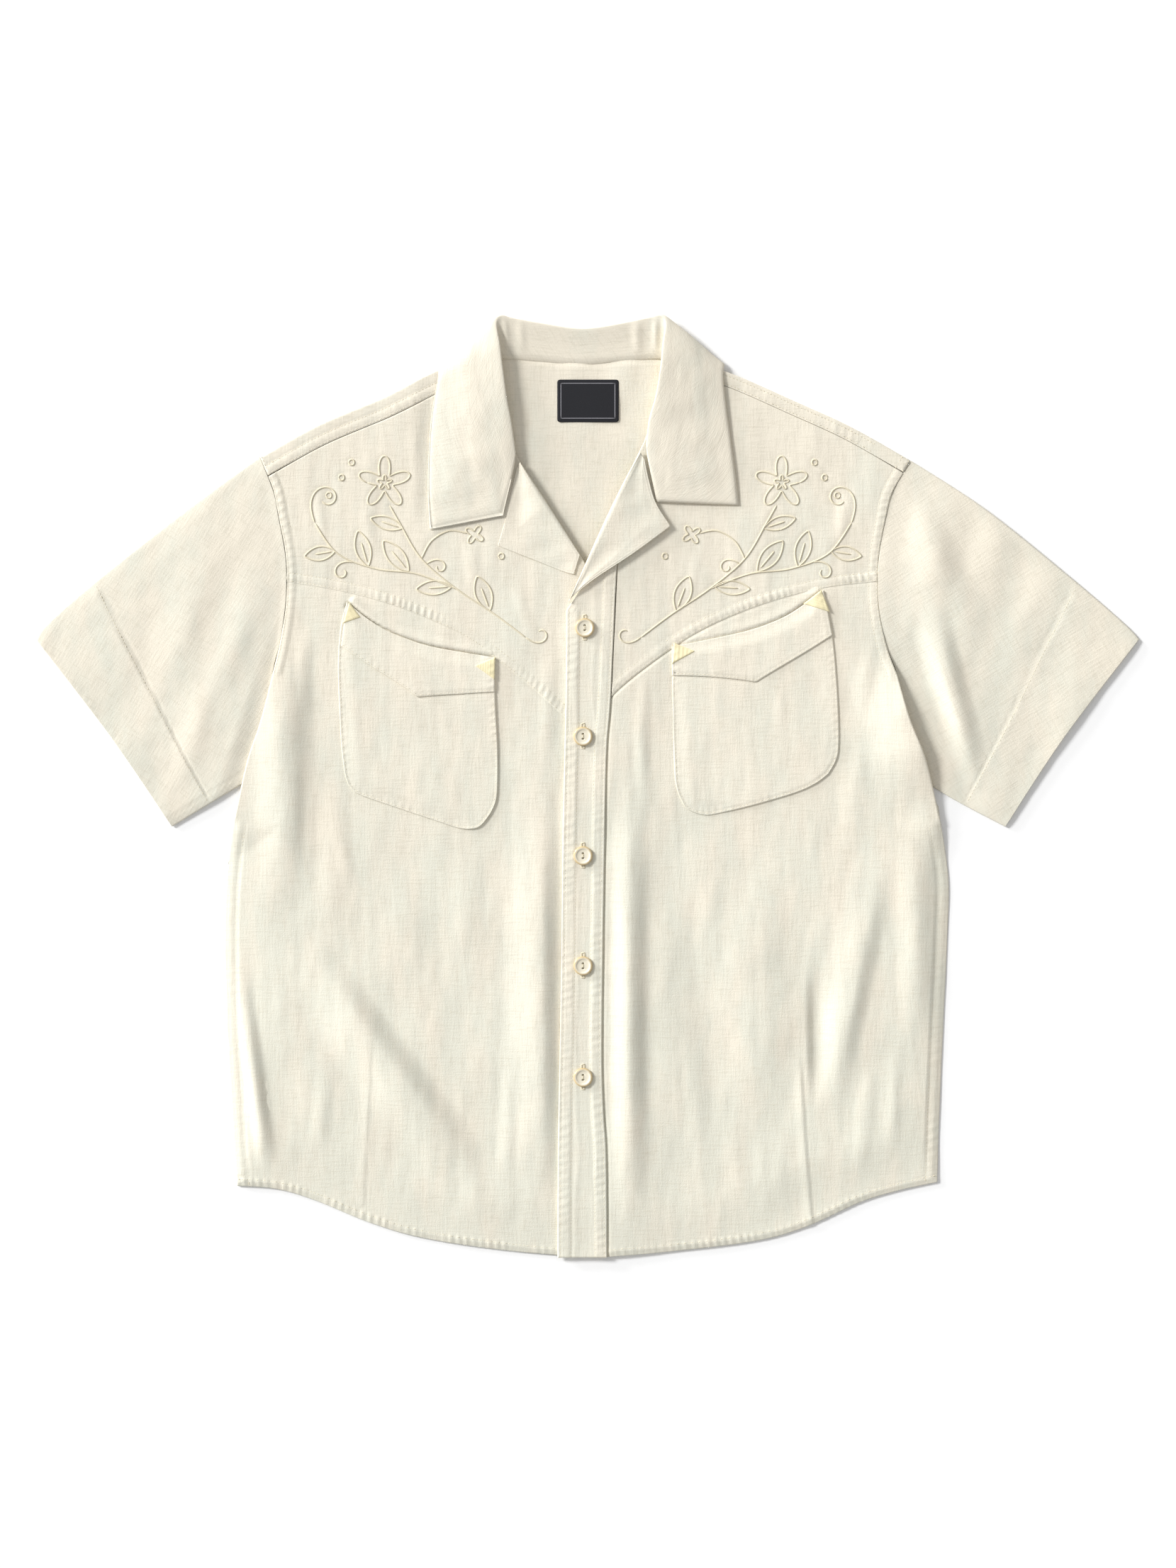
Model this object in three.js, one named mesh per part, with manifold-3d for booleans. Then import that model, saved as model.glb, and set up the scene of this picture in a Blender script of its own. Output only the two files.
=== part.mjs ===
// Cuban collar shirt with curved western yokes and smile pockets, laid flat on its back with the front up.
// Millimetres, +Z up, +Y towards the collar, the wearer's right at -X. The origin is the middle of the
// outline, on the surface that the shirt lies on.
import * as THREE from 'three';
import { mergeVertices } from 'three/addons/utils/BufferGeometryUtils.js';
import Module from 'manifold-3d';

const wasm = await Module();
wasm.setup();

// Driving sizes.
const WALL = 1.2; // cotton cloth with its seam allowances
const SEAM = 0.3; // gap between pieces that are sewn edge to edge
const ARMHOLE_GAP = 0.5; // half the gap along each armhole, where two curved edges meet
const LOFT = 2.1; // rise of the fronts from their edges to the middle
const EDGE_ROLL = 45; // width over which the fronts rise
const NECK_LIFT = 1.6; // the back lies on the collar leaf here
const PLACKET_WALL = 1.6;
const POCKET_GAP = 0.4;
const BUTTON = { radius: 7.5, height: 2.6, rim: 1.5, hole: 1, holeSpacing: 3.4 };
const LABEL = { width: 48.6, height: 33.6, centreX: 0.3, centreY: 304.6, wall: 0.8 };

// Seams and edges of the garment, each row one named place on the right and the left of the wearer.
const HEM = [
  { at: 'side seam', right: [-277, -315], left: [276, -312] },
  { at: 'hip curve', right: [-245, -317.5], left: [245, -318.8] },
  { at: 'start of the tail', right: [-215, -326.5], left: [215, -328] },
  { at: 'middle of the curve', right: [-172, -344], left: [172, -347.5] },
  { at: 'end of the curve', right: [-128, -356.5], left: [130, -359] },
  { at: 'tail', right: [-60, -366.4], left: [60, -367.4] },
  { at: 'centre front', right: [0, -372], left: [0, -372] },
];
const SIDE = [
  { at: 'hem', right: [-277, -315], left: [276, -312] },
  { at: 'hip', right: [-281, -252], left: [278, -252] },
  { at: 'low waist', right: [-285, -185], left: [281, -185] },
  { at: 'waist', right: [-286.5, -120], left: [284, -120] },
  { at: 'ribs', right: [-285, -73], left: [285, -73] },
  { at: 'below the sleeve', right: [-279.4, -28], left: [279, -30] },
];
const SIDE_OVER_SLEEVE = [
  { at: 'below the sleeve', right: [-279.4, -28], left: [279, -30] },
  { at: 'over the underarm', right: [-268.8, 20], left: [267, 20] },
  { at: 'over the pit', right: [-258, 52], left: [254, 53] },
  { at: 'armhole seam', right: [-248.3, 90], left: [244.3, 88] },
];
const SIDE_UNDER_SLEEVE = [
  { at: 'below the sleeve', right: [-279.4, -28], left: [279, -30] },
  { at: 'sleeve edge', right: [-273, -5], left: [273, -6] },
  { at: 'underarm point', right: [-246.5, 13], left: [245.5, 13] },
];
const ARMHOLE = [
  { at: 'underarm point', right: [-247, 18], left: [246, 18] },
  { at: 'pit', right: [-249.5, 56], left: [247, 56] },
  { at: 'body edge', right: [-248.3, 90], left: [244.3, 88] },
  { at: 'chest', right: [-243, 113], left: [236.3, 110] },
  { at: 'below the yoke', right: [-238.7, 140], left: [230.2, 139] },
  { at: 'yoke seam', right: [-237.5, 161.5], left: [229, 162] },
  { at: 'above the yoke seam', right: [-238.5, 184], left: [230.2, 184] },
  { at: 'upper chest', right: [-244, 214], left: [235.8, 214.5] },
  { at: 'below the shoulder', right: [-247.8, 233], left: [240, 231] },
  { at: 'shoulder', right: [-258.8, 260.8], left: [255, 257.5] },
];
const YOKE_SEAM = [
  { at: 'armhole', right: [-237.5, 161.5], left: [229, 162] },
  { at: 'outer pocket corner', right: [-197, 154.7], left: [188, 157] },
  { at: 'pocket curve', right: [-160, 145], left: [152, 148] },
  { at: 'pocket middle', right: [-126, 132.2], left: [119, 136.6] },
  { at: 'inner pocket curve', right: [-96, 117.8], left: [90, 123.4] },
  { at: 'inner pocket corner', right: [-70, 98.6], left: [64.4, 107.5] },
  { at: 'below the pocket corner', right: [-44, 78], left: [40, 89.6] },
  { at: 'near the placket', right: [-18.5, 54.9], left: [26, 78] },
  { at: 'front edge', right: [12, 28], left: [18.8, 71] },
];
const SHOULDER = [
  { at: 'armhole', right: [-258.4, 261], left: [253.4, 258.2] },
  { at: 'outer shoulder', right: [-214, 285.6], left: [208, 284] },
  { at: 'middle', right: [-161.5, 308], left: [163, 304.6] },
  { at: 'inner shoulder', right: [-118, 329.3], left: [118, 324.4] },
  { at: 'neck point', right: [-76, 343.3], left: [66, 343.3] },
];
const FRONT_EDGE = [
  { at: 'yoke seam', right: [12, 28], left: [18.8, 71] },
  { at: 'below the lapel', right: [12, 140], left: [23.4, 170] },
  { at: 'break', right: [-1, 175], left: [26, 206] },
];
const ROLL = [
  { at: 'break', right: [-1, 175], left: [26, 206] },
  { at: 'lapel', right: [-18, 202], left: [30.5, 240.5] },
  { at: 'lapel top', right: [-36.5, 231], left: [38, 259] },
  { at: 'gorge', right: [-57, 264], left: [46, 276] },
  { at: 'collar', right: [-65.5, 304], left: [55, 304] },
  { at: 'neck point', right: [-76, 332], left: [66, 332] },
];
// Sides of the placket. The pull of the buttons leaves them a little slanted and uneven.
const PLACKET_SIDE = [
  { at: 'hem', right: [-23.8, -371.6], left: [15.4, -371.6] },
  { at: 'above the hem', right: [-23.6, -300], left: [14.7, -291] },
  { at: 'last button', right: [-22.8, -240], left: [12.6, -257] },
  { at: 'hip', right: [-21.9, -200], left: [11.3, -214] },
  { at: 'waist', right: [-20.7, -125], left: [12, -135] },
  { at: 'ribs', right: [-20, -60], left: [13.1, -60] },
  { at: 'below the yoke seam', right: [-18.5, 20], left: [14.9, 26] },
  { at: 'yoke seam', right: [-17.4, 65], left: [18.2, 71] },
  { at: 'chest', right: [-16.9, 110], left: [22.8, 170] },
  { at: 'under the lapel', right: [-16.8, 139], left: [25.4, 206] },
];
const FORWARD_SEAM = { right: 17, left: 11 }; // from the shoulder fold down to the shoulder seam
const BACK_NECK = [
  { at: 'right neck point', x: -76, y: 341 },
  { at: 'right curve', x: -40, y: 338.5 },
  { at: 'centre', x: -5, y: 337 },
  { at: 'left curve', x: 30, y: 338.5 },
  { at: 'left neck point', x: 66, y: 341 },
];
const SLEEVE_TOP = [
  { at: 'shoulder', right: [-258.8, 260.8], left: [255, 257.5] },
  { at: 'upper arm', right: [-317, 218.4], left: [315, 218.4] },
  { at: 'hem seam', right: [-387.5, 163], left: [384, 163] },
  { at: 'hem turn', right: [-426.2, 129], left: [423.5, 129] },
  { at: 'hem', right: [-435.5, 116.5], left: [435.5, 116.5] },
];
const SLEEVE_HEM = [
  { at: 'top', right: [-435.5, 116.5], left: [435.5, 116.5] },
  { at: 'middle', right: [-376.3, 39.2], left: [376.3, 39.2] },
  { at: 'underarm', right: [-328.2, -31.4], left: [329.8, -31.4] },
];
const SLEEVE_UNDER = [
  { at: 'armhole', right: [-247, 18], left: [246, 18] },
  { at: 'gusset', right: [-285.6, -5.6], left: [284, -7] },
  { at: 'hem', right: [-328.2, -31.4], left: [329.8, -31.4] },
];
// Outer edge of each turned-back lapel, from the gorge round the notch to the break.
const LAPEL_EDGE = {
  right: [
    { at: 'gorge', x: -55.8, y: 252 },
    { at: 'gorge middle', x: -60.5, y: 232 },
    { at: 'notch', x: -64.8, y: 211 },
    { at: 'tip', x: -71, y: 190 },
    { at: 'lower edge', x: -44, y: 179.5 },
    { at: 'near the break', x: -20, y: 170 },
    { at: 'break', x: -10.5, y: 167.5 },
  ],
  left: [
    { at: 'gorge', x: 44.8, y: 258 },
    { at: 'gorge middle', x: 48.5, y: 241 },
    { at: 'notch', x: 54, y: 223.5 },
    { at: 'tip', x: 65.5, y: 205.5 },
    { at: 'lower edge', x: 36.4, y: 184.2 },
    { at: 'over the placket', x: 5, y: 163.5 },
    { at: 'break', x: -14.6, y: 147.8 },
  ],
};
const LAPEL_ROLL = {
  right: [
    { at: 'gorge', x: -53.2, y: 256, rise: 3.2 },
    { at: 'upper', x: -36.5, y: 230.5, rise: 3.4 },
    { at: 'lower', x: -20, y: 205, rise: 2.6 },
    { at: 'break', x: -6, y: 183, rise: 1.2 },
  ],
  left: [
    { at: 'gorge', x: 41.5, y: 264, rise: 3.6 },
    { at: 'upper', x: 28.6, y: 240.8, rise: 3.8 },
    { at: 'middle', x: 9, y: 200, rise: 3.4 },
    { at: 'break', x: -15.1, y: 145.6, rise: 1 },
  ],
};
// The collar, section by section from the wearer's right front end round the back to the left front end.
// Each section runs from the neck seam over the roll to the leaf's outer edge.
const section = (at, seam, roll, leaf, edge) => ({ at, seam, roll, leaf, edge });
const COLLAR = [
  section('right front end', [-67, 262, 5.9], [-57.5, 264, 8.6], [-66.5, 213.7, 7.2], [-124.4, 202.8, 6]),
  section('right front', [-76, 276, 6], [-60, 284, 10.6], [-88, 258, 9.6], [-126, 233, 6]),
  section('right side', [-80, 298, 6], [-64, 306, 12.4], [-92, 295, 10.4], [-124.4, 280, 6]),
  section('right shoulder', [-84, 318, 6.1], [-67, 328, 13], [-94, 322, 10.8], [-121, 307, 6.2]),
  section('right fold', [-82, 328, 6.4], [-69.5, 348, 12.2], [-95, 340.5, 9.8], [-118, 323.5, 6.4]),
  section('right contour', [-78, 335, 6.6], [-72, 367.6, 9.4], [-95, 350.5, 6], [-118.2, 331, 3.4]),
  section('right tuck', [-72, 336.5, 5.4], [-68.5, 371.2, 8.4], [-92, 351, 2.2], [-116.5, 328.5, 0.9]),
  section('right behind', [-66, 337, 4.4], [-60, 369.4, 7.6], [-76, 351, 1.6], [-106, 312, 0.7]),
  section('right back', [-38, 335, 3.9], [-33, 364.5, 7], [-38, 349, 1.5], [-50, 297, 0.7]),
  section('centre back', [-5, 332.5, 3.9], [-5, 361, 6.6], [-5, 347, 1.4], [-5, 293, 0.7]),
  section('left back', [28, 335, 3.9], [23, 364.5, 7], [28, 349, 1.5], [40, 297, 0.7]),
  section('left behind', [56, 337, 4.4], [50, 370, 7.6], [66, 351, 1.6], [95, 311, 0.7]),
  section('left tuck', [62, 336.5, 5.4], [58.5, 371.4, 8.4], [82, 351.5, 2.2], [107, 330, 0.9]),
  section('left contour', [68, 335, 6.6], [61.5, 368, 9.4], [85, 351.5, 6], [108, 333, 3.4]),
  section('left fold', [72, 328, 6.4], [59.5, 348, 12.2], [83, 341.5, 9.8], [107, 326, 6.4]),
  section('left shoulder', [73, 318, 6.1], [57.5, 329, 13], [82, 322, 10.8], [108, 310, 6.4]),
  section('left side', [70, 300, 6], [54, 308, 12.4], [80, 296, 10.6], [112, 280, 6.2]),
  section('left front', [64, 282, 6], [48.5, 288, 10.8], [76, 264, 9.8], [116, 250, 6.2]),
  section('left front end', [57, 272, 6], [47, 271, 8.8], [54.2, 224.5, 7.6], [119.5, 222, 6.2]),
];
const POCKET = {
  right: {
    mouth: [[-190, 146], [-176, 134.4], [-159, 123.6], [-138, 115], [-117, 109.4], [-73, 102]],
    outer: [[-188.7, 4], [-193, 39], [-196.5, 88], [-195, 125], [-190, 146]],
    foot: [[-188.7, 4], [-162, -11.5], [-120, -27], [-96, -32.5], [-75.5, -21]],
    inner: [[-75.5, -21], [-70.5, 20], [-72.5, 70], [-73, 102]],
    band: [[-194.5, 111], [-158, 85], [-136, 71], [-106, 73.5], [-73.4, 75.6]],
  },
  left: {
    mouth: [[66.3, 110.5], [107, 118.7], [129, 124], [146, 130], [162, 138], [186, 155]],
    inner: [[74.5, -7.5], [69.4, 20], [67.8, 62], [66.3, 110.5]],
    foot: [[74.5, -7.5], [95, -23.5], [140, -14.5], [174, -3], [193, 12]],
    outer: [[193, 12], [199, 45], [195, 100], [191, 135], [186, 155]],
    band: [[68.3, 87.4], [102, 85.5], [132.7, 83.4], [168.6, 103.6], [193.4, 120.4]],
  },
};
const BUTTON_Y = [125.4, 39.8, -54.3, -141.1, -229];

// Folds of the fronts: a ridge of the given height and width from one end to the other.
const FOLDS = [
  { at: 'right ribs', from: [-250, 24], to: [-248, -88], width: 17, height: 3 },
  { at: 'right side', from: [-275, -105], to: [-254, -308], width: 12, height: 5 },
  { at: 'right hip, slanting', from: [-238, -120], to: [-118, -280], width: 21, height: 4.4 },
  { at: 'beside the placket, right', from: [-46, -30], to: [-56, -312], width: 19, height: 3.2 },
  { at: 'beside the placket, left', from: [30, -26], to: [29, -338], width: 17, height: 3.6 },
  { at: 'left waist', from: [139, -96], to: [147, -238], width: 26, height: 3.2 },
  { at: 'left hip, slanting', from: [233, -60], to: [185, -248], width: 18, height: 4.2 },
];
const SLEEVE_FOLDS = [
  { at: 'right upper', from: [-270, 225], to: [-352, 62], width: 16, height: 1 },
  { at: 'right underarm', from: [-300, 90], to: [-322, -6], width: 13, height: 1 },
  { at: 'left upper', from: [300, 206], to: [352, 66], width: 18, height: 1.2 },
  { at: 'left underarm', from: [268, 150], to: [318, 12], width: 12, height: 1.2 },
];

const COLOURS = {
  cloth: { color: 0xece6d2, roughness: 0.9, metalness: 0 },
  pocket: { color: 0xeee8d5, roughness: 0.9, metalness: 0 },
  button: { color: 0xdcd4bc, roughness: 0.35, metalness: 0 },
  label: { color: 0x23242c, roughness: 0.7, metalness: 0 },
};

const shirt = new THREE.Group();

function smooth(low, high, value) {
  const t = Math.min(1, Math.max(0, (value - low) / (high - low)));
  return t * t * (3 - 2 * t);
}

function addPiece(name, geometry, material) {
  const mesh = new THREE.Mesh(geometry, new THREE.MeshStandardMaterial(COLOURS[material]));
  mesh.name = name;
  shirt.add(mesh);
}

// Height of all folds of a table at a point: a cosine ridge across, fading out at both ends.
function foldHeight(folds, x, y) {
  let height = 0;
  for (const fold of folds) {
    const along = new THREE.Vector2(fold.to[0] - fold.from[0], fold.to[1] - fold.from[1]);
    const length = along.length();
    along.divideScalar(length);
    const offset = new THREE.Vector2(x - fold.from[0], y - fold.from[1]);
    const distance = Math.abs(offset.cross(along)) / fold.width;
    const run = offset.dot(along) / length;
    if (distance < 1 && run > 0 && run < 1) {
      const ends = smooth(0, 0.3, run) * smooth(0, 0.3, 1 - run);
      height += fold.height * ends * (0.5 + 0.5 * Math.cos(Math.PI * distance));
    }
  }
  return height;
}

// Underside of the back: it is on the surface, but for the neck, which lies on the collar's leaf.
function backLevel(x, y) {
  return NECK_LIFT * smooth(232, 284, y) * smooth(152, 124, Math.abs(x + 5));
}

// Underside of a front, which meets the back at the side and the hem. The left front laps over the right one.
function frontLevel(side, x, y) {
  const sideRise = smooth(0, EDGE_ROLL, 285 - Math.abs(x));
  const overSleeve = smooth(-62, -30, y);
  const hemY = -372 + 56 * smooth(60, 255, Math.abs(x));
  const hemRise = smooth(0, EDGE_ROLL, y - hemY);
  const rise = Math.max(sideRise, overSleeve) * hemRise;
  const lap = side === 'left' ? (WALL + SEAM) * smooth(78, 24, x) : 0;
  return WALL + SEAM + lap + (LOFT + foldHeight(FOLDS, x, y)) * rise;
}

const levelOf = (side) => (x, y) => frontLevel(side, x, y);

// A closed wall between two grids of points, with +Z on the upper one when rows run to +Y and columns to +X.
// keep(row, column) leaves cells out, and `round` joins the last column to the first.
function wallBetween(upper, lower, { keep = () => true, round = false } = {}) {
  const rows = upper.length;
  const columns = upper[0].length;
  const positions = [...upper.flat(), ...lower.flat()].flatMap((p) => [p.x, p.y, p.z]);
  const under = rows * columns;
  const triangles = [];
  const edges = new Map();
  const cellColumns = round ? columns : columns - 1;
  for (let i = 0; i < rows - 1; i += 1) {
    for (let j = 0; j < cellColumns; j += 1) {
      if (keep(i, j)) {
        const next = (j + 1) % columns;
        const ring = [i * columns + j, i * columns + next, (i + 1) * columns + next, (i + 1) * columns + j];
        const [a, b, c, d] = ring;
        triangles.push(a, b, c, a, c, d);
        triangles.push(under + a, under + c, under + b, under + a, under + d, under + c);
        ring.forEach((from, k) => edges.set(`${from}>${ring[(k + 1) % 4]}`, [from, ring[(k + 1) % 4]]));
      }
    }
  }
  for (const [from, to] of edges.values()) {
    if (!edges.has(`${to}>${from}`)) {
      triangles.push(to, from, under + from, to, under + from, under + to);
    }
  }
  const used = [...new Set(triangles)];
  const place = new Map(used.map((index, k) => [index, k]));
  const geometry = new THREE.BufferGeometry();
  const kept = used.flatMap((index) => positions.slice(3 * index, 3 * index + 3));
  geometry.setAttribute('position', new THREE.Float32BufferAttribute(kept, 3));
  geometry.setIndex(triangles.map((index) => place.get(index)));
  geometry.computeVertexNormals();
  return geometry;
}

// An edge is a function of 0..1. Each [points, cells] stretch takes its share of the grid's cells, so that
// the corners between stretches fall on grid lines.
function edgeInSteps(...stretches) {
  const curves = stretches.map(([points, cells]) => {
    const places = points.map((p) => new THREE.Vector2(...(Array.isArray(p) ? p : [p.x, p.y])));
    const curve = places.length > 2 ? new THREE.SplineCurve(places) : new THREE.LineCurve(...places);
    return { curve, cells };
  });
  const total = curves.reduce((sum, { cells }) => sum + cells, 0);
  return (t) => {
    let cell = Math.min(1, Math.max(0, t)) * total;
    for (const { curve, cells } of curves) {
      if (cell <= cells + 1e-6) return curve.getPointAt(Math.min(1, cell / cells));
      cell -= cells;
    }
    return curves.at(-1).curve.getPointAt(1);
  };
}

const edgeThrough = (points) => edgeInSteps([points, 1]);
const sideOf = (table, side) => table.map((row) => row[side]);
const mirrored = (side) => (side === 'right' ? 1 : -1);
const backwards = (edge) => (t) => edge(1 - t);
const shifted = (edge, x, y) => (t) => edge(t).add(new THREE.Vector2(x, y));

// Point of the surface that blends four edges: bottom and top run with u, first and last with v.
function blend({ bottom, top, first, last }, u, v) {
  const point = new THREE.Vector2();
  point.addScaledVector(bottom(u), 1 - v).addScaledVector(top(u), v);
  point.addScaledVector(first(v), 1 - u).addScaledVector(last(v), u);
  point.addScaledVector(bottom(0), -(1 - u) * (1 - v)).addScaledVector(bottom(1), -u * (1 - v));
  point.addScaledVector(top(0), -(1 - u) * v).addScaledVector(top(1), -u * v);
  return point;
}

const evenly = (count) => Array.from({ length: count + 1 }, (_, k) => k / count);

// Grid of a flat-laid piece: level(x, y) is its underside.
function layOut(edges, us, vs, level) {
  return vs.map((v) => us.map((u) => {
    const { x, y } = blend(edges, u, v);
    return new THREE.Vector3(x, y, level(x, y));
  }));
}

const raised = (grid, height) => grid.map((row) => row.map((p) => new THREE.Vector3(p.x, p.y, p.z + height)));

function laidPiece(edges, columns, rows, level, wall = WALL) {
  const under = layOut(edges, evenly(columns), evenly(rows), level);
  return wallBetween(raised(under, wall), under);
}

// For the wearer's left the grid runs the same way in x, so its outer edge is the last one.
function acrossFrom(side, outer, inner) {
  return side === 'right' ? { first: outer, last: inner } : { first: inner, last: outer };
}

const alongX = (side, edge) => (side === 'right' ? edge : backwards(edge));

// Outward direction and place of the shoulder fold, as functions of 0..1 from the armhole to the neck.
function shoulderLine(side) {
  const fold = edgeThrough(sideOf(SHOULDER, side));
  const outward = (t) => {
    const direction = fold(Math.min(1, t + 0.02)).sub(fold(Math.max(0, t - 0.02))).normalize();
    return new THREE.Vector2(-direction.y, direction.x).multiplyScalar(mirrored(side));
  };
  return { fold, outward };
}

const SHOULDER_CELLS = 6;
const NECK_CELLS = 6;
const BACK_CELLS = { side: 6, underSleeve: 1, armhole: 9 };
const BACK_ROWS = BACK_CELLS.side + BACK_CELLS.underSleeve + BACK_CELLS.armhole;
const ROLL_STEPS = 4;
const FLAP_STEPS = 1;

function makeBack() {
  const right = shoulderLine('right');
  const left = shoulderLine('left');
  const neck = edgeThrough(BACK_NECK);
  const steps = 2 * SHOULDER_CELLS + NECK_CELLS;
  const us = evenly(steps);
  const topLevel = (p) => frontLevel('right', p.x, p.y) + WALL;
  const radiusAt = (p) => (topLevel(p) - backLevel(p.x, p.y)) / 2;
  const onShoulder = ({ fold, outward }, t) => {
    const place = fold(t);
    return place.addScaledVector(outward(t), -radiusAt(place));
  };
  const top = (u) => {
    const column = u * steps;
    if (column <= SHOULDER_CELLS) return onShoulder(right, column / SHOULDER_CELLS);
    if (column >= SHOULDER_CELLS + NECK_CELLS) return onShoulder(left, (steps - column) / SHOULDER_CELLS);
    return neck((column - SHOULDER_CELLS) / NECK_CELLS);
  };
  const hem = edgeInSteps([sideOf(HEM, 'right'), steps / 2], [sideOf(HEM, 'left').reverse(), steps / 2]);
  const sideEdge = (side) => {
    const armhole = sideOf(ARMHOLE, side);
    const end = top(side === 'right' ? 0 : 1);
    armhole[armhole.length - 1] = [end.x, end.y];
    const under = sideOf(SIDE_UNDER_SLEEVE, side);
    const clear = armhole.slice(1, -1).map(([x, y]) => [x + 3 * ARMHOLE_GAP * mirrored(side), y]);
    return edgeInSteps(
      [sideOf(SIDE, side), BACK_CELLS.side],
      [under, BACK_CELLS.underSleeve],
      [[under.at(-1), ...clear, armhole.at(-1)], BACK_CELLS.armhole],
    );
  };
  const edges = { bottom: hem, top, first: sideEdge('right'), last: sideEdge('left') };
  const flat = layOut(edges, us, evenly(BACK_ROWS), backLevel);
  // Inside of the cloth is up. Past the last flat row the shoulders roll forward and end at the front seam.
  const inside = raised(flat, WALL);
  const outside = flat;
  for (let step = 1; step <= ROLL_STEPS + FLAP_STEPS; step += 1) {
    const innerRow = [];
    const outerRow = [];
    us.forEach((u, j) => {
      const isRight = j <= steps / 2;
      const side = isRight ? 'right' : 'left';
      const t = Math.min(1, (isRight ? j : steps - j) / SHOULDER_CELLS);
      const { outward } = isRight ? right : left;
      const start = flat[BACK_ROWS][j];
      const radius = radiusAt(start);
      const turn = Math.PI * Math.min(1, step / ROLL_STEPS);
      const flap = Math.max(0, step - ROLL_STEPS) / FLAP_STEPS;
      const reach = -flap * (FORWARD_SEAM[side] - radius - SEAM);
      const at = (r) => {
        const out = Math.sin(turn) * r + reach;
        const normal = outward(t);
        const level = topLevel(start) - radius;
        const z = level - Math.cos(turn) * r;
        return new THREE.Vector3(start.x + normal.x * out, start.y + normal.y * out, z);
      };
      innerRow.push(at(radius - WALL));
      outerRow.push(at(radius));
    });
    inside.push(innerRow);
    outside.push(outerRow);
  }
  const keep = (i, j) => i < BACK_ROWS || j < SHOULDER_CELLS || j >= SHOULDER_CELLS + NECK_CELLS;
  addPiece('back', wallBetween(inside, outside, { keep }), 'cloth');
}

// Part of the armhole between two named places.
function armholeBetween(side, from, to, inward) {
  const start = ARMHOLE.findIndex((row) => row.at === from);
  const end = ARMHOLE.findIndex((row) => row.at === to);
  return sideOf(ARMHOLE.slice(start, end + 1), side).map(([x, y]) => [x + inward * mirrored(side), y]);
}

const YOKE_CELLS = 16;
const FRONT_CELLS = { side: 12, overSleeve: 4, armhole: 3 };
const FRONT_ROWS = FRONT_CELLS.side + FRONT_CELLS.overSleeve + FRONT_CELLS.armhole;
const PIT_LEVEL = -60; // where the inner edge is level with the start of the sleeve

// Inner edge of a front, from the hem to the yoke seam: straight under the placket, or along its side.
function innerPlaces(side) {
  const [x, y] = sideOf(YOKE_SEAM, side).at(-1);
  const seamEnd = [x, y - SEAM];
  if (side === 'right') return [[x, -372], [x, PIT_LEVEL], seamEnd];
  const belowSeam = sideOf(PLACKET_SIDE, 'left').filter((place) => place[1] < y);
  return [...belowSeam.map((place) => [place[0] + 2 * SEAM, place[1]]), seamEnd];
}

function makeFront(side) {
  const hemPoints = sideOf(HEM, side);
  const inside = innerPlaces(side);
  hemPoints[hemPoints.length - 1] = inside[0];
  const seam = edgeThrough(sideOf(YOKE_SEAM, side));
  const overSleeve = sideOf(SIDE_OVER_SLEEVE, side);
  const armhole = armholeBetween(side, 'body edge', 'yoke seam', ARMHOLE_GAP);
  overSleeve[overSleeve.length - 1] = armhole[0];
  const outer = edgeInSteps(
    [sideOf(SIDE, side), FRONT_CELLS.side],
    [overSleeve, FRONT_CELLS.overSleeve],
    [armhole, FRONT_CELLS.armhole],
  );
  const pit = inside.findIndex(([, y]) => y === PIT_LEVEL);
  const inner = edgeInSteps(
    [inside.slice(0, pit + 1), FRONT_CELLS.side],
    [inside.slice(pit), FRONT_ROWS - FRONT_CELLS.side],
  );
  const corner = armhole.at(-1);
  const top = (t) => (t === 0 ? new THREE.Vector2(...corner) : shifted(seam, 0, -SEAM)(t));
  const edges = {
    bottom: alongX(side, edgeThrough(hemPoints)),
    top: alongX(side, top),
    ...acrossFrom(side, outer, inner),
  };
  addPiece(`front_${side}`, laidPiece(edges, YOKE_CELLS, FRONT_ROWS, levelOf(side)), 'cloth');
}

function makeYoke(side) {
  const seam = edgeThrough(sideOf(YOKE_SEAM, side));
  const armhole = armholeBetween(side, 'yoke seam', 'below the shoulder', ARMHOLE_GAP);
  const { fold, outward } = shoulderLine(side);
  const reach = FORWARD_SEAM[side];
  const shoulderSeam = (t) => fold(t).addScaledVector(outward(t), -reach - 2 * SEAM);
  const start = shoulderSeam(0);
  const end = shoulderSeam(1);
  armhole.push([start.x, start.y]);
  const roll = sideOf(ROLL, side);
  roll[roll.length - 1] = [end.x, end.y];
  const seamStart = armhole[0];
  const bottom = (t) => (t === 0 ? new THREE.Vector2(...seamStart) : seam(t));
  const top = (t) => (t === 0 ? new THREE.Vector2(...armhole.at(-1)) : shoulderSeam(t));
  const edges = {
    bottom: alongX(side, bottom),
    top: alongX(side, top),
    ...acrossFrom(side, edgeThrough(armhole), edgeInSteps([sideOf(FRONT_EDGE, side), 4], [roll, 6])),
  };
  addPiece(`yoke_${side}`, laidPiece(edges, YOKE_CELLS, 10, levelOf(side)), 'cloth');
}

// Height of a flattened sleeve: level with the fronts at the armhole seam, low where the body lies over it.
function sleeveHeight(x, y, along) {
  const beyondBody = Math.abs(x) - 248 - 0.33 * (90 - y);
  const underBody = smooth(30, 12, beyondBody) * smooth(122, 98, y);
  const atSeam = smooth(0.25, 0, along);
  const free = 5.4 + foldHeight(SLEEVE_FOLDS, x, y) * smooth(0.1, 0.35, along) * smooth(1, 0.8, along);
  const seamed = THREE.MathUtils.lerp(free, WALL + SEAM + LOFT + WALL, atSeam);
  return THREE.MathUtils.lerp(seamed, 2.9, underBody);
}

const SLEEVE_RING = 24;
const SLEEVE_STATIONS = 9;

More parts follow.
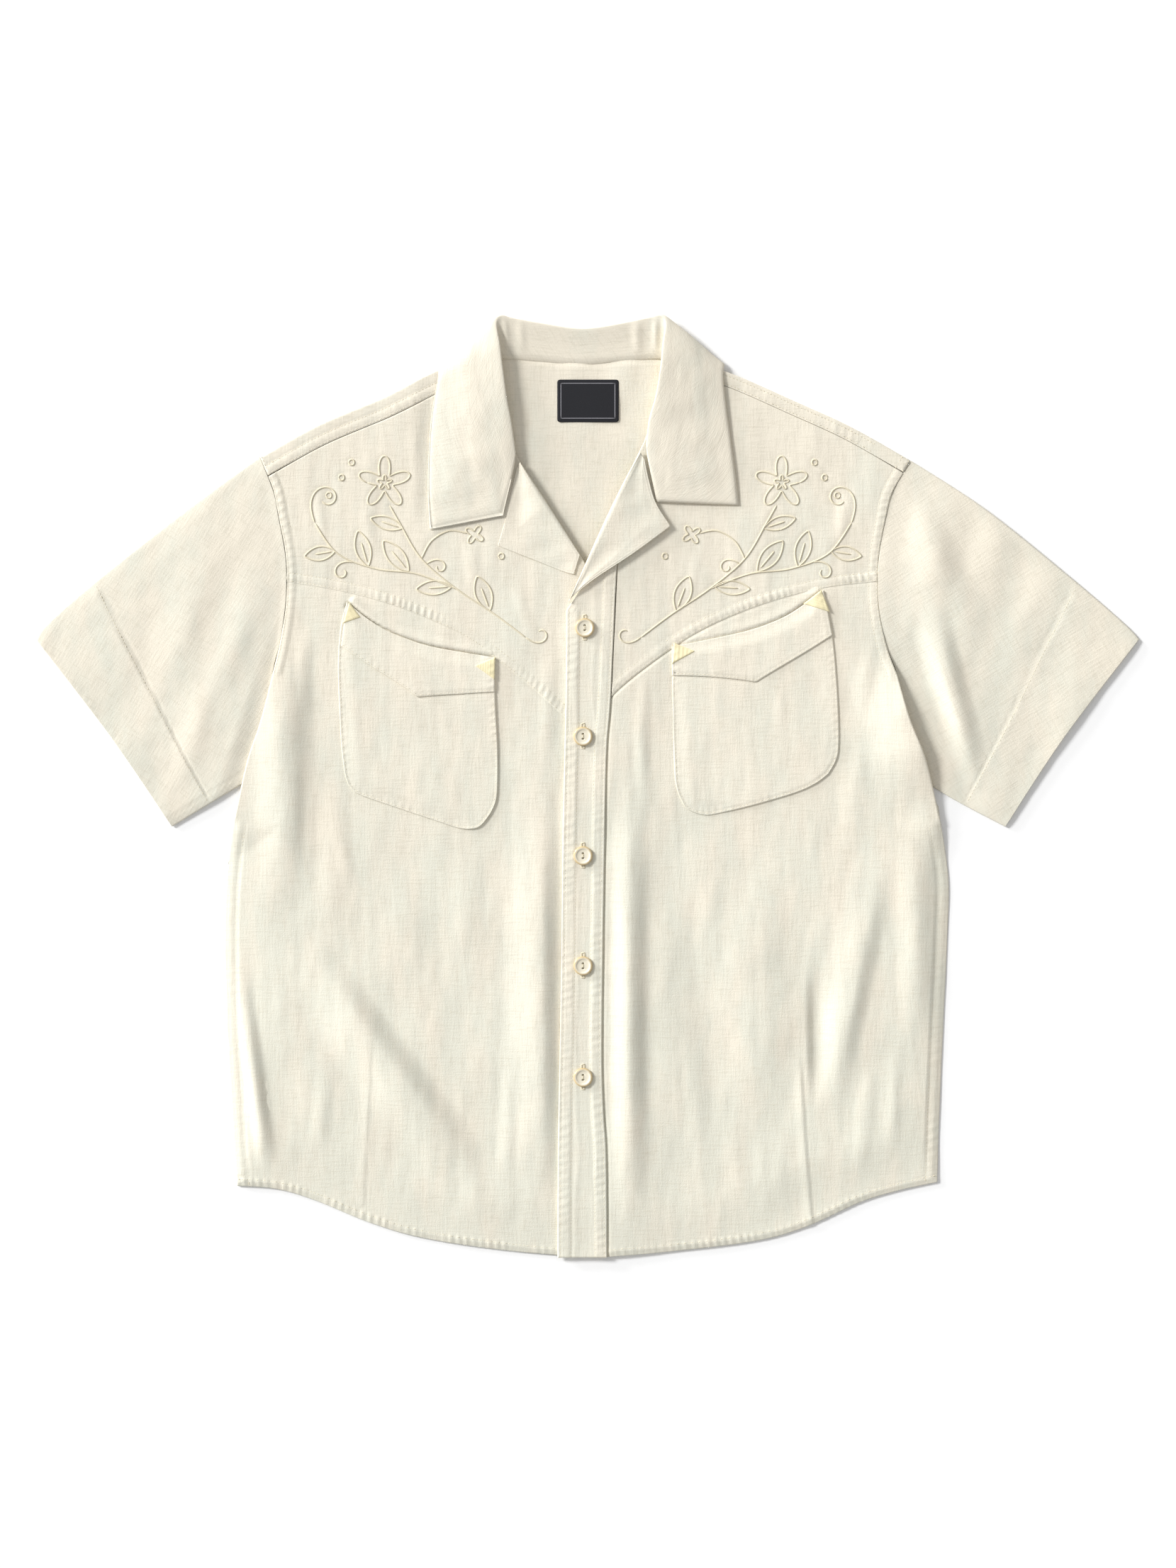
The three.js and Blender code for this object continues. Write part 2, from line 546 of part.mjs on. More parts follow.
function makeSleeve(side) {
  const armhole = sideOf(ARMHOLE, side).map(([x, y]) => [x - ARMHOLE_GAP * mirrored(side), y]);
  const topLine = sideOf(SLEEVE_TOP, side);
  const underLine = sideOf(SLEEVE_UNDER, side);
  topLine[0] = armhole.at(-1);
  underLine[0] = armhole[0];
  const plan = {
    bottom: edgeThrough(underLine),
    top: edgeThrough(topLine),
    first: edgeThrough(armhole),
    last: backwards(edgeThrough(sideOf(SLEEVE_HEM, side))),
  };
  // Ring of one station: a flattened oval from the shoulder fold over the top layer to the underarm and back.
  const ring = (along, inset) => Array.from({ length: SLEEVE_RING }, (_, k) => {
    const angle = (2 * Math.PI * k) / SLEEVE_RING;
    const width = blend(plan, along, 0).distanceTo(blend(plan, along, 1));
    const margin = inset / width;
    const across = margin + (1 - 2 * margin) * (0.5 + 0.5 * Math.cos(angle));
    const { x, y } = blend(plan, along, across);
    const half = sleeveHeight(x, y, along) / 2;
    const bulge = Math.min(1, 1.08 * Math.abs(Math.sin(angle)) ** 0.4);
    return new THREE.Vector3(x, y, half + Math.sign(Math.sin(angle)) * bulge * (half - inset));
  });
  const stations = evenly(SLEEVE_STATIONS);
  const outer = stations.map((along) => ring(along, 0));
  const inner = stations.map((along) => ring(along, WALL));
  const order = (grid) => (side === 'right' ? grid.map((row) => [...row].reverse()) : grid);
  addPiece(`sleeve_${side}`, wallBetween(order(outer), order(inner), { round: true }), 'cloth');
}

// Both faces of a wall round a middle surface, each half a thickness away along its normal.
function thicken(grid, wall, floor) {
  const rows = grid.length;
  const columns = grid[0].length;
  const offset = (sign) => grid.map((row, i) => row.map((p, j) => {
    const along = grid[Math.min(rows - 1, i + 1)][j].clone().sub(grid[Math.max(0, i - 1)][j]);
    const across = grid[i][Math.min(columns - 1, j + 1)].clone().sub(grid[i][Math.max(0, j - 1)]);
    const normal = across.cross(along).normalize();
    const moved = p.clone().addScaledVector(normal, (sign * wall) / 2);
    moved.z = Math.max(moved.z, floor + (sign * normal.z > 0 ? wall * Math.abs(normal.z) : 0));
    return moved;
  }));
  return [offset(1), offset(-1)];
}

const COLLAR_CELLS = [2, 2, 3, 3]; // across the collar, between the named points of a section
const COLLAR_ALONG = 44;
const CORNER = 3; // the leaf's place among a section's points, counted from the neck seam

// Places across one section. The two end sections have a square corner at the leaf.
function acrossSection({ seam, roll, leaf, edge }, isEnd) {
  const stand = [(seam[0] + roll[0]) / 2, (seam[1] + roll[1]) / 2, seam[2] * 0.6 + roll[2] * 0.4];
  const points = [seam, stand, roll, leaf, edge].map((p) => new THREE.Vector3(...p));
  const bent = new THREE.CatmullRomCurve3(isEnd ? points.slice(0, CORNER + 1) : points);
  const stretches = bent.points.length - 1;
  const straight = new THREE.LineCurve3(points[CORNER], points[CORNER + 1]);
  const places = [points[0]];
  COLLAR_CELLS.forEach((cells, k) => {
    for (let step = 1; step <= cells; step += 1) {
      const part = step / cells;
      places.push(isEnd && k === CORNER ? straight.getPoint(part) : bent.getPoint((k + part) / stretches));
    }
  });
  return places;
}

function makeCollar() {
  const sections = COLLAR.map((row, k) => acrossSection(row, k === 0 || k === COLLAR.length - 1));
  const columns = sections[0].map((_, j) => {
    const along = new THREE.CatmullRomCurve3(sections.map((section) => section[j]));
    return evenly(COLLAR_ALONG).map((t) => along.getPoint(t));
  });
  const middle = columns[0].map((_, i) => columns.map((column) => column[i]));
  const [upper, lower] = thicken(middle, WALL, 0);
  addPiece('collar', wallBetween(upper, lower), 'cloth');
}

// A lapel lies on the yoke and rises to its roll, where it turns down again.
function makeLapel(side) {
  const rollRows = LAPEL_ROLL[side];
  const roll = edgeThrough(rollRows);
  const outer = edgeInSteps([LAPEL_EDGE[side].slice(0, 4), 4], [LAPEL_EDGE[side].slice(3), 5]);
  const onPlacket = side === 'left' ? PLACKET_WALL - WALL + SEAM : 0;
  const base = (x, y) => frontLevel(side, x, y) + WALL + SEAM + onPlacket;
  const rise = (v) => {
    const place = (1 - v) * (rollRows.length - 1);
    const row = Math.min(rollRows.length - 2, Math.floor(place));
    return THREE.MathUtils.lerp(rollRows[row].rise, rollRows[row + 1].rise, place - row);
  };
  const profile = [0, 0.07, 0.16, 0.3, 0.5, 0.75, 1];
  const swell = (u) => smooth(0, 0.16, u) * smooth(1, 0.2, u);
  const under = evenly(9).map((v) => profile.map((u) => {
    const start = roll(1 - v);
    const end = outer(1 - v);
    const p = start.lerp(end, u);
    return new THREE.Vector3(p.x, p.y, base(p.x, p.y) + rise(v) * swell(u));
  }));
  const ordered = side === 'right' ? under.map((row) => [...row].reverse()) : under;
  addPiece(`lapel_${side}`, wallBetween(raised(ordered, WALL), ordered), 'cloth');
}

const placketLevel = (x, y) => frontLevel('left', 0, y);

function makePlacket() {
  const right = sideOf(PLACKET_SIDE, 'right');
  const left = sideOf(PLACKET_SIDE, 'left');
  const edges = {
    bottom: edgeThrough([right[0], left[0]]),
    top: edgeThrough([right.at(-1), left.at(-1)]),
    first: edgeThrough(right),
    last: edgeThrough(left),
  };
  addPiece('placket', laidPiece(edges, 1, 24, placketLevel, PLACKET_WALL), 'cloth');
}

function makePocket(side) {
  const { mouth, outer, foot, inner, band } = POCKET[side];
  const onFront = (x, y) => frontLevel(side, x, y) + WALL + POCKET_GAP;
  const edges = {
    bottom: edgeThrough(foot),
    top: edgeThrough(mouth),
    ...acrossFrom(side, edgeThrough(outer), edgeThrough(inner)),
  };
  addPiece(`pocket_${side}`, laidPiece(edges, 8, 8, onFront), 'pocket');
  const lower = edgeThrough(band);
  const upper = shifted(edgeThrough(mouth), 0, -1);
  const onPocket = (x, y) => onFront(x, y) + WALL + POCKET_GAP;
  const bandEdges = {
    bottom: lower,
    top: upper,
    first: edgeThrough([band[0], upper(0).toArray()]),
    last: edgeThrough([band.at(-1), upper(1).toArray()]),
  };
  addPiece(`pocket_band_${side}`, laidPiece(bandEdges, 8, 3, onPocket, 1), 'pocket');
}

function toSolid(geometry) {
  const bare = geometry.clone();
  bare.deleteAttribute('normal');
  bare.deleteAttribute('uv');
  const merged = mergeVertices(bare);
  const vertProperties = new Float32Array(merged.attributes.position.array);
  const triVerts = new Uint32Array(merged.index.array);
  return new wasm.Manifold(new wasm.Mesh({ numProp: 3, vertProperties, triVerts }));
}

function toGeometry(solid) {
  const { vertProperties, triVerts } = solid.getMesh();
  const geometry = new THREE.BufferGeometry();
  geometry.setAttribute('position', new THREE.Float32BufferAttribute(vertProperties, 3));
  geometry.setIndex([...triVerts]);
  geometry.computeVertexNormals();
  return geometry;
}

// A button with a raised rim, a dished middle and two holes one above the other.
function buttonGeometry() {
  const { radius, height, rim, hole, holeSpacing } = BUTTON;
  const profile = [
    [0, 0], [radius - 1, 0], [radius, 0.8], [radius, height - 0.6], [radius - 0.5, height],
    [radius - rim, height], [radius - rim - 0.8, height - 0.8], [0, height - 0.8],
  ].map(([x, y]) => new THREE.Vector2(x, y));
  const turned = new THREE.LatheGeometry(profile, 20).rotateX(Math.PI / 2);
  let solid = toSolid(turned);
  for (const sign of [-1, 1]) {
    const drill = new THREE.CylinderGeometry(hole, hole, 3 * height, 8).rotateX(Math.PI / 2);
    solid = solid.subtract(toSolid(drill.translate(0, (sign * holeSpacing) / 2, 0)));
  }
  return toGeometry(solid);
}

function makeButtons() {
  const shape = buttonGeometry();
  BUTTON_Y.forEach((y, k) => {
    const x = k === 0 ? -2.2 : -3.6;
    const z = placketLevel(x, y) + PLACKET_WALL + SEAM;
    addPiece(`button_${k + 1}`, shape.clone().translate(x, y, z), 'button');
  });
}

function makeLabel() {
  const { width, height, centreX, centreY, wall } = LABEL;
  const box = new THREE.BoxGeometry(width, height, wall);
  const z = NECK_LIFT + WALL + SEAM + wall / 2;
  addPiece('neck_label', box.translate(centreX, centreY, z), 'label');
}

makeBack();
for (const side of ['right', 'left']) {
  makeFront(side);
  makeYoke(side);
  makeSleeve(side);
  makeLapel(side);
  makePocket(side);
}
makeCollar();
makePlacket();
makeButtons();
makeLabel();

export default shirt;
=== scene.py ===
# %% [markdown]
# # A camp-collar shirt, laid flat with its front up
# The shirt is cut from light crepe-like cloth: two fronts under curved western yokes, a back that wraps
# over the shoulders, short sleeves, a one-piece collar, and two pockets with a banded top. The frame holds
# each sewn piece as a plain solid. Here each one gets its real cloth: a fine surface with folds and
# puckered seams, then stitches, raised cord embroidery, buttons and a matte, lightly mottled finish.

import math
from collections import namedtuple

import bpy
import numpy as np
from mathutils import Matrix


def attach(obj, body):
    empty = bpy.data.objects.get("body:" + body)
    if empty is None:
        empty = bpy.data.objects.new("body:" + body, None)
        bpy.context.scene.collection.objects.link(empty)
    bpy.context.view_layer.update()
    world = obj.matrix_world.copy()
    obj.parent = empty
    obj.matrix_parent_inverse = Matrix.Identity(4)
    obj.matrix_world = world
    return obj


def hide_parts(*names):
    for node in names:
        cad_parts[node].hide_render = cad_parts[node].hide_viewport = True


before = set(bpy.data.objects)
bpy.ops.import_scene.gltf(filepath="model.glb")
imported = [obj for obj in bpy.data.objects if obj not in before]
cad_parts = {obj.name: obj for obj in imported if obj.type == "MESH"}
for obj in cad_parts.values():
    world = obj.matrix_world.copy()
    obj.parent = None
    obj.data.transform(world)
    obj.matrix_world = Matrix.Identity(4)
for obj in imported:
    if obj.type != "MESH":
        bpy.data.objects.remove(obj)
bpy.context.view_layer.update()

# %% [markdown]
# ## Units and small curves
# A shirt is measured in millimetres, so every table here is in millimetres and only the finished mesh is
# scaled to metres. A smooth step is the basic brush of the whole file: it fades one height into the next
# without a crease, because its slope is zero at both ends.

# %% Units and the smooth step
MM = 0.001


def smooth(low, high, value):
    """Smooth step: 0 at low, 1 at high and an S curve between. low may be the larger of the two."""
    t = np.clip((value - low) / (high - low), 0, 1)
    return t * t * (3 - 2 * t)


print("halfway up a smooth step:", smooth(0, 10, 5))

# %% [markdown]
# ## Camera, floor and light
# The shirt is seen from straight above through a long lens far away, which keeps its outline free of
# perspective. A high window at the upper left gives the cloth its brightness. A low one beside it rakes
# over the folds and draws the long soft shadow on the floor. A bright sky fills all shadows, so that the
# pale cloth keeps its colour inside them.

# %% Camera straight above
PIXELS_HIGH = 2212
MM_PER_PIXEL = 0.56
VIEW_CENTRE = (0.28, 2.24)
LENS = 100
SENSOR = 36


def add_camera():
    """A camera that looks straight down, from the height at which the whole view fits its sensor."""
    data = bpy.data.cameras.new("camera")
    data.lens = LENS
    data.sensor_width = SENSOR
    distance = LENS / SENSOR * PIXELS_HIGH * MM_PER_PIXEL * MM
    camera = bpy.data.objects.new("camera", data)
    camera.location = (VIEW_CENTRE[0] * MM, VIEW_CENTRE[1] * MM, distance)
    data.clip_start = 0.05
    data.clip_end = 50
    bpy.context.collection.objects.link(camera)
    bpy.context.scene.camera = camera
    return distance


print("camera height in metres:", round(add_camera(), 3))

# %% Window light and sky
WINDOWS = {
    "window_high": {"azimuth": 152, "elevation": 31, "strength": 2.92, "angle": 15},
    "window_low": {"azimuth": 146, "elevation": 9, "strength": 2.45, "angle": 16},
}
SKY = 0.5


def add_window(name, azimuth, elevation, strength, angle):
    """A distant light given by where it stands: azimuth from +X towards +Y, elevation above the floor."""
    data = bpy.data.lights.new(name, "SUN")
    data.energy = strength
    data.angle = math.radians(angle)
    window = bpy.data.objects.new(name, data)
    window.rotation_euler = (0, math.radians(90 - elevation), math.radians(azimuth))
    bpy.context.collection.objects.link(window)


def add_sky():
    """An even white sky, seen through a plain view transform that keeps the cloth's own colour."""
    world = bpy.data.worlds.new("sky")
    bpy.context.scene.world = world
    world.use_nodes = True
    background = world.node_tree.nodes["Background"]
    background.inputs["Color"].default_value = (1, 1, 1, 1)
    background.inputs["Strength"].default_value = SKY
    bpy.context.scene.view_settings.view_transform = "Standard"


for name, light in WINDOWS.items():
    add_window(name, **light)
add_sky()
print("windows", WINDOWS, "sky", SKY)

# %% [markdown]
# ## Finishes
# Each finish starts from the real one. A node tree is built with one small function that adds a node, sets
# its inputs and joins its links. Colours are written as the usual sRGB hex values, and one function turns
# them into the linear light values that a renderer needs.

# %% Colour and node helpers
def linear(hex_colour):
    """sRGB hex to linear RGBA by the sRGB curve: a short line near black and a power above it."""
    channels = [int(hex_colour[k:k + 2], 16) / 255 for k in (1, 3, 5)]
    return [c / 12.92 if c <= 0.04045 else ((c + 0.055) / 1.055) ** 2.4 for c in channels] + [1.0]


def add(tree, kind, inputs=None, **settings):
    """Adds a node of a kind, sets its own settings, and fills its inputs with values or other sockets."""
    node = tree.nodes.new(kind)
    for name, value in settings.items():
        setattr(node, name, value)
    for key, value in (inputs or {}).items():
        if isinstance(value, bpy.types.NodeSocket):
            tree.links.new(value, node.inputs[key])
        else:
            node.inputs[key].default_value = value
    return node


def blend(tree, share, first, second):
    """Socket of the mix of two colours: the first where share is 0, the second where it is 1."""
    return add(tree, "ShaderNodeMix", {0: share, 6: first, 7: second}, data_type="RGBA").outputs[2]


def new_material(name):
    """An empty material, its tree and its surface shader."""
    material = bpy.data.materials.new(name)
    material.use_nodes = True
    return material, material.node_tree, material.node_tree.nodes["Principled BSDF"]


def set_surface(tree, shader, colour, values, bump=None):
    """Joins a colour and a bump to the surface shader, and sets its other inputs to plain values."""
    tree.links.new(colour, shader.inputs["Base Color"])
    if bump is not None:
        tree.links.new(bump.outputs[0], shader.inputs["Normal"])
    for name, value in values.items():
        shader.inputs[name].default_value = value


print("ecru in linear light:", [round(c, 3) for c in linear("#ece5d3")])

# %% [markdown]
# ### Crepe-like cotton and rayon cloth
# Plain-woven from soft, uneven threads: matte, with a faint bloom at glancing angles that the sheen gives.
# The dye took a little unevenly, so pinkish beige and greenish cream drift into each other in long upright
# patches. Slubs, the thicker places in a thread, make short streaks along both thread directions. The
# threads are 0.3 mm apart, which is finer than a pixel, so the weave is drawn at 1.1 mm, the finest that
# shows. The weave follows the piece's own UV map, which is its cut in metres along the grain, and the dye
# follows Object coordinates.

# %% Cloth material
DYE_PATCH = (0.026, 0.075, 0.040)
COOL_TOWARDS_HEM = 0.35
SLUB_LENGTH = 0.014
SLUB_WIDTH = 0.0016
WEAVE_PITCH = 0.0011
WEAVE_BUMP = 0.35


def cloth_material(name, warm, cool, slub):
    """Cloth of two close shades that drift into each other, with darker slub streaks and a woven bump."""
    material, tree, shader = new_material(name)
    place = add(tree, "ShaderNodeTexCoord").outputs["Object"]
    cut = add(tree, "ShaderNodeUVMap", uv_map="cut").outputs["UV"]
    patches = add(tree, "ShaderNodeMapping", {"Vector": place, "Scale": [1 / size for size in DYE_PATCH]})
    blotches = {"Vector": patches.outputs[0], "Scale": 1.0, "Detail": 4.0, "Roughness": 0.6}
    dye = add(tree, "ShaderNodeTexNoise", blotches)
    up = add(tree, "ShaderNodeSeparateXYZ", {0: place})
    # Towards the hem the cool shade takes more of the mix, so the cloth turns greener and a little darker as
    # Y falls.
    drift = {0: up.outputs["Y"], 1: -COOL_TOWARDS_HEM, 2: dye.outputs["Fac"]}
    hem_cooled_share = add(tree, "ShaderNodeMath", drift, operation="MULTIPLY_ADD")
    dye_share = add(tree, "ShaderNodeMapRange", {0: hem_cooled_share.outputs[0], 1: 0.36, 2: 0.64})
    colour = blend(tree, dye_share.outputs[0], linear(warm), linear(cool))
    heights = []
    for stretch in ((1 / SLUB_WIDTH, 1 / SLUB_LENGTH, 1), (1 / SLUB_LENGTH, 1 / SLUB_WIDTH, 1)):
        thread = add(tree, "ShaderNodeMapping", {"Vector": cut, "Scale": stretch})
        streak = add(tree, "ShaderNodeTexNoise", {"Vector": thread.outputs[0], "Scale": 1.0, "Detail": 3.0})
        share = add(tree, "ShaderNodeMapRange", {0: streak.outputs["Fac"], 1: 0.50, 2: 0.80, 4: 0.42})
        colour = blend(tree, share.outputs[0], colour, linear(slub))
        heights.append(streak.outputs["Fac"])
    threads = {"Vector": cut, "Scale": 1 / WEAVE_PITCH, "Detail": 2.0, "Roughness": 0.6}
    weave = add(tree, "ShaderNodeTexNoise", threads)
    relief = add(tree, "ShaderNodeMath", {0: heights[0], 1: heights[1]}, operation="ADD")
    total = add(tree, "ShaderNodeMath", {0: relief.outputs[0], 1: weave.outputs["Fac"]}, operation="ADD")
    raised = {"Height": total.outputs[0], "Strength": WEAVE_BUMP, "Distance": 0.0004}
    values = {"Roughness": 0.88, "Specular IOR Level": 0.2, "Sheen Weight": 0.12, "Sheen Roughness": 0.5,
              "Sheen Tint": linear("#fff6e2")}
    set_surface(tree, shader, colour, values, add(tree, "ShaderNodeBump", raised))
    return material


CREPE = cloth_material("ecru_crepe_cotton", "#ece4d3", "#e2e0d1", "#d1cab7")
print("cloth finish:", CREPE.name)

# %% [markdown]
# ### Thread, cord, resin, satin and floor
# Sewing thread and embroidery cord are twisted cotton: matte with fine ribs. The arrow tacks are satin
# stitch, which lies in parallel rows and shines a little. The buttons are cast resin made to look like
# horn: a cream face and a tan rim, with a polished, slightly waxy gloss. The neck label is woven satin in
# dark navy.

# %% Thread and small finishes
THREAD_RIB = 0.0006


def thread_material(name, colour, dark, roughness, sheen):
    """Twisted cotton: two close shades in fine ribs along the piece, and a rib bump."""
    material, tree, shader = new_material(name)
    place = add(tree, "ShaderNodeTexCoord").outputs["Object"]
    ribs = add(tree, "ShaderNodeTexNoise", {"Vector": place, "Scale": 1 / THREAD_RIB, "Detail": 2.0})
    mixed = blend(tree, ribs.outputs["Fac"], linear(colour), linear(dark))
    raised = add(tree, "ShaderNodeBump", {"Height": ribs.outputs["Fac"], "Strength": 0.4, "Distance": 0.0002})
    set_surface(tree, shader, mixed, {"Roughness": roughness, "Sheen Weight": sheen}, raised)
    return material


def resin_material(name, face, rim, radius):
    """Cast resin: the cream face turns tan towards the rim, by distance from the axis in its UV map."""
    material, tree, shader = new_material(name)
    cut = add(tree, "ShaderNodeUVMap", uv_map="cut").outputs["UV"]
    reach = add(tree, "ShaderNodeVectorMath", {0: cut}, operation="LENGTH")
    cloud = add(tree, "ShaderNodeTexNoise", {"Vector": cut, "Scale": 260.0, "Detail": 3.0})
    sway = {0: cloud.outputs["Fac"], 1: 0.0016, 2: -0.0008}
    wobble = add(tree, "ShaderNodeMath", sway, operation="MULTIPLY_ADD")
    place = add(tree, "ShaderNodeMath", {0: reach.outputs["Value"], 1: wobble.outputs[0]}, operation="ADD")
    share = add(tree, "ShaderNodeMapRange", {0: place.outputs[0], 1: radius * 0.74, 2: radius * 0.93})
    mixed = blend(tree, share.outputs[0], linear(face), linear(rim))
    values = {"Roughness": 0.32, "IOR": 1.52, "Coat Weight": 0.25, "Coat Roughness": 0.15}
    set_surface(tree, shader, mixed, values)
    return material


def floor_material(name, colour):
    """White matte board with the faintest grain."""
    material, tree, shader = new_material(name)
    place = add(tree, "ShaderNodeTexCoord").outputs["Object"]
    grain = add(tree, "ShaderNodeTexNoise", {"Vector": place, "Scale": 90.0})
    mixed = blend(tree, grain.outputs["Fac"], linear(colour), linear("#fdfdfd"))
    set_surface(tree, shader, mixed, {"Roughness": 0.9})
    return material


THREAD = thread_material("sewing_thread", "#e9e1cb", "#d3c9ae", 0.8, 0.1)
CORD = thread_material("embroidery_cord", "#ebe3cd", "#d2c7a9", 0.75, 0.15)
SATIN = thread_material("satin_stitch_thread", "#f4eac4", "#e6d9ac", 0.55, 0.2)
BORDER = thread_material("pale_label_thread", "#a9a8ad", "#84838c", 0.6, 0.1)
NAVY = thread_material("navy_woven_satin", "#11121b", "#0a0b12", 0.75, 0.0)
WHITE = floor_material("white_board", "#fbfbfb")
print("small finishes:", THREAD.name, CORD.name, SATIN.name, BORDER.name, NAVY.name, WHITE.name)

# %% [markdown]
# ## The pattern pieces as tables
# A tailor draws a shirt as seams and edges. These tables hold the same lines, one row a named place, with the
# wearer's right and left beside each other. Everything after this is worked out from them.

# %% Seams and edges
WALL = 1.2
SEAM = 0.3
ARMHOLE_GAP = 0.1
LOFT = 2.1
EDGE_ROLL = 45
NECK_LIFT = 1.6
PLACKET_WALL = 1.6
POCKET_GAP = 0.4
FORWARD_SEAM = {"right": 17, "left": 11}
SIDES = ("right", "left")
# Sign of the way inwards, towards the placket: the wearer's right is at -X.
INWARD = {"right": 1, "left": -1}

HEM = {
    "right": [(-277, -315), (-245, -317.5), (-215, -326.5), (-172, -344), (-128, -356.5), (-60, -366.4),
              (0, -372)],
    "left": [(276, -312), (245, -318.8), (215, -328), (172, -347.5), (130, -359), (60, -367.4), (0, -372)],
}
SIDE = {
    "right": [(-277, -315), (-281, -252), (-285, -185), (-286.5, -120), (-285, -73), (-279.4, -28)],
    "left": [(276, -312), (278, -252), (281, -185), (284, -120), (285, -73), (279, -30)],
}
SIDE_OVER_SLEEVE = {
    "right": [(-279.4, -28), (-268.8, 20), (-258, 52), (-248.3, 90)],
    "left": [(279, -30), (267, 20), (254, 53), (244.3, 88)],
}
SIDE_UNDER_SLEEVE = {
    "right": [(-279.4, -28), (-273, -5), (-246.5, 13)],
    "left": [(279, -30), (273, -6), (245.5, 13)],
}
# Underarm point, pit, body edge, chest, below the yoke, yoke seam, above it, upper chest, below the shoulder
# and shoulder.
ARMHOLE = {
    "right": [(-247, 18), (-249.5, 56), (-248.3, 90), (-243, 113), (-238.7, 140), (-237.5, 161.5),
              (-238.5, 184), (-244, 214), (-247.8, 233), (-258.8, 260.8)],
    "left": [(246, 18), (247, 56), (244.3, 88), (236.3, 110), (230.2, 139), (229, 162),
             (230.2, 184), (235.8, 214.5), (240, 231), (255, 257.5)],
}
BODY_EDGE, YOKE_JOIN, BELOW_SHOULDER = 2, 5, 8
YOKE_SEAM = {
    "right": [(-237.5, 161.5), (-197, 154.7), (-160, 145), (-126, 132.2), (-96, 117.8), (-70, 98.6),
              (-44, 78), (-18.5, 54.9), (12, 28)],
    "left": [(229, 162), (188, 157), (152, 148), (119, 136.6), (90, 123.4), (64.4, 107.5), (40, 89.6),
             (26, 78), (18.8, 71)],
}
SHOULDER = {
    "right": [(-258.4, 261), (-214, 285.6), (-161.5, 308), (-118, 329.3), (-76, 343.3)],
    "left": [(253.4, 258.2), (208, 284), (163, 304.6), (118, 324.4), (66, 343.3)],
}
FRONT_EDGE = {
    "right": [(12, 28), (12, 140), (-1, 175)],
    "left": [(18.8, 71), (23.4, 170), (26, 206)],
}
ROLL = {
    "right": [(-1, 175), (-18, 202), (-36.5, 231), (-57, 264), (-65.5, 304), (-76, 332)],
    "left": [(26, 206), (30.5, 240.5), (38, 259), (46, 276), (55, 304), (66, 332)],
}
BACK_NECK = [(-76, 341), (-40, 338.5), (-5, 337), (30, 338.5), (66, 341)]
SLEEVE_TOP = {
    "right": [(-258.8, 260.8), (-317, 218.4), (-387.5, 163), (-426.2, 129), (-435.5, 116.5)],
    "left": [(255, 257.5), (315, 218.4), (384, 163), (423.5, 129), (435.5, 116.5)],
}
SLEEVE_HEM = {
    "right": [(-435.5, 116.5), (-376.3, 39.2), (-328.2, -31.4)],
    "left": [(435.5, 116.5), (376.3, 39.2), (329.8, -31.4)],
}
SLEEVE_UNDER = {
    "right": [(-247, 18), (-285.6, -5.6), (-328.2, -31.4)],
    "left": [(246, 18), (284, -7), (329.8, -31.4)],
}
# Sides of the placket, which is seen from the front: the wearer's left one is at +X.
PLACKET = {
    "right": [(-23.8, -371.6), (-23.6, -300), (-22.8, -240), (-21.9, -200), (-20.7, -125), (-20, -60),
              (-18.5, 20), (-17.4, 65), (-16.9, 110), (-16.8, 139)],
    "left": [(15.4, -371.6), (14.7, -291), (12.6, -257), (11.3, -214), (12, -135), (13.1, -60), (14.9, 26),
             (18.2, 71), (22.8, 170), (25.4, 206)],
}
named = (HEM, SIDE, ARMHOLE, YOKE_SEAM, SHOULDER)
print("named places:", sum(len(table[side]) for table in named for side in SIDES))

# %% Lapels, collar and pockets
# Outer edge of each turned-back lapel from the gorge round the notch to the break. The tip is row 3.
LAPEL_TIP = 3
LAPEL_EDGE = {
    "right": [(-55.8, 252), (-60.5, 232), (-64.8, 211), (-71, 190), (-44, 179.5), (-20, 170), (-10.5, 167.5)],
    "left": [(44.8, 258), (48.5, 241), (54, 223.5), (65.5, 205.5), (36.4, 184.2), (5, 163.5), (-14.6, 147.8)],
}
LAPEL_ROLL = {
    "right": {"line": [(-53.2, 256), (-36.5, 230.5), (-20, 205), (-6, 183)], "rise": (2.4, 2.4, 2.0, 1.0)},
    "left": {"line": [(41.5, 264), (28.6, 240.8), (9, 200), (-15.1, 145.6)], "rise": (1.8, 2.0, 1.8, 0.8)},
}


def section(seam, roll, leaf, edge):
    """One cut through the collar: neck seam, a point halfway up the stand, roll, leaf and outer edge."""
    stand = ((seam[0] + roll[0]) / 2, (seam[1] + roll[1]) / 2, seam[2] * 0.6 + roll[2] * 0.4)
    return [seam, stand, roll, leaf, edge]


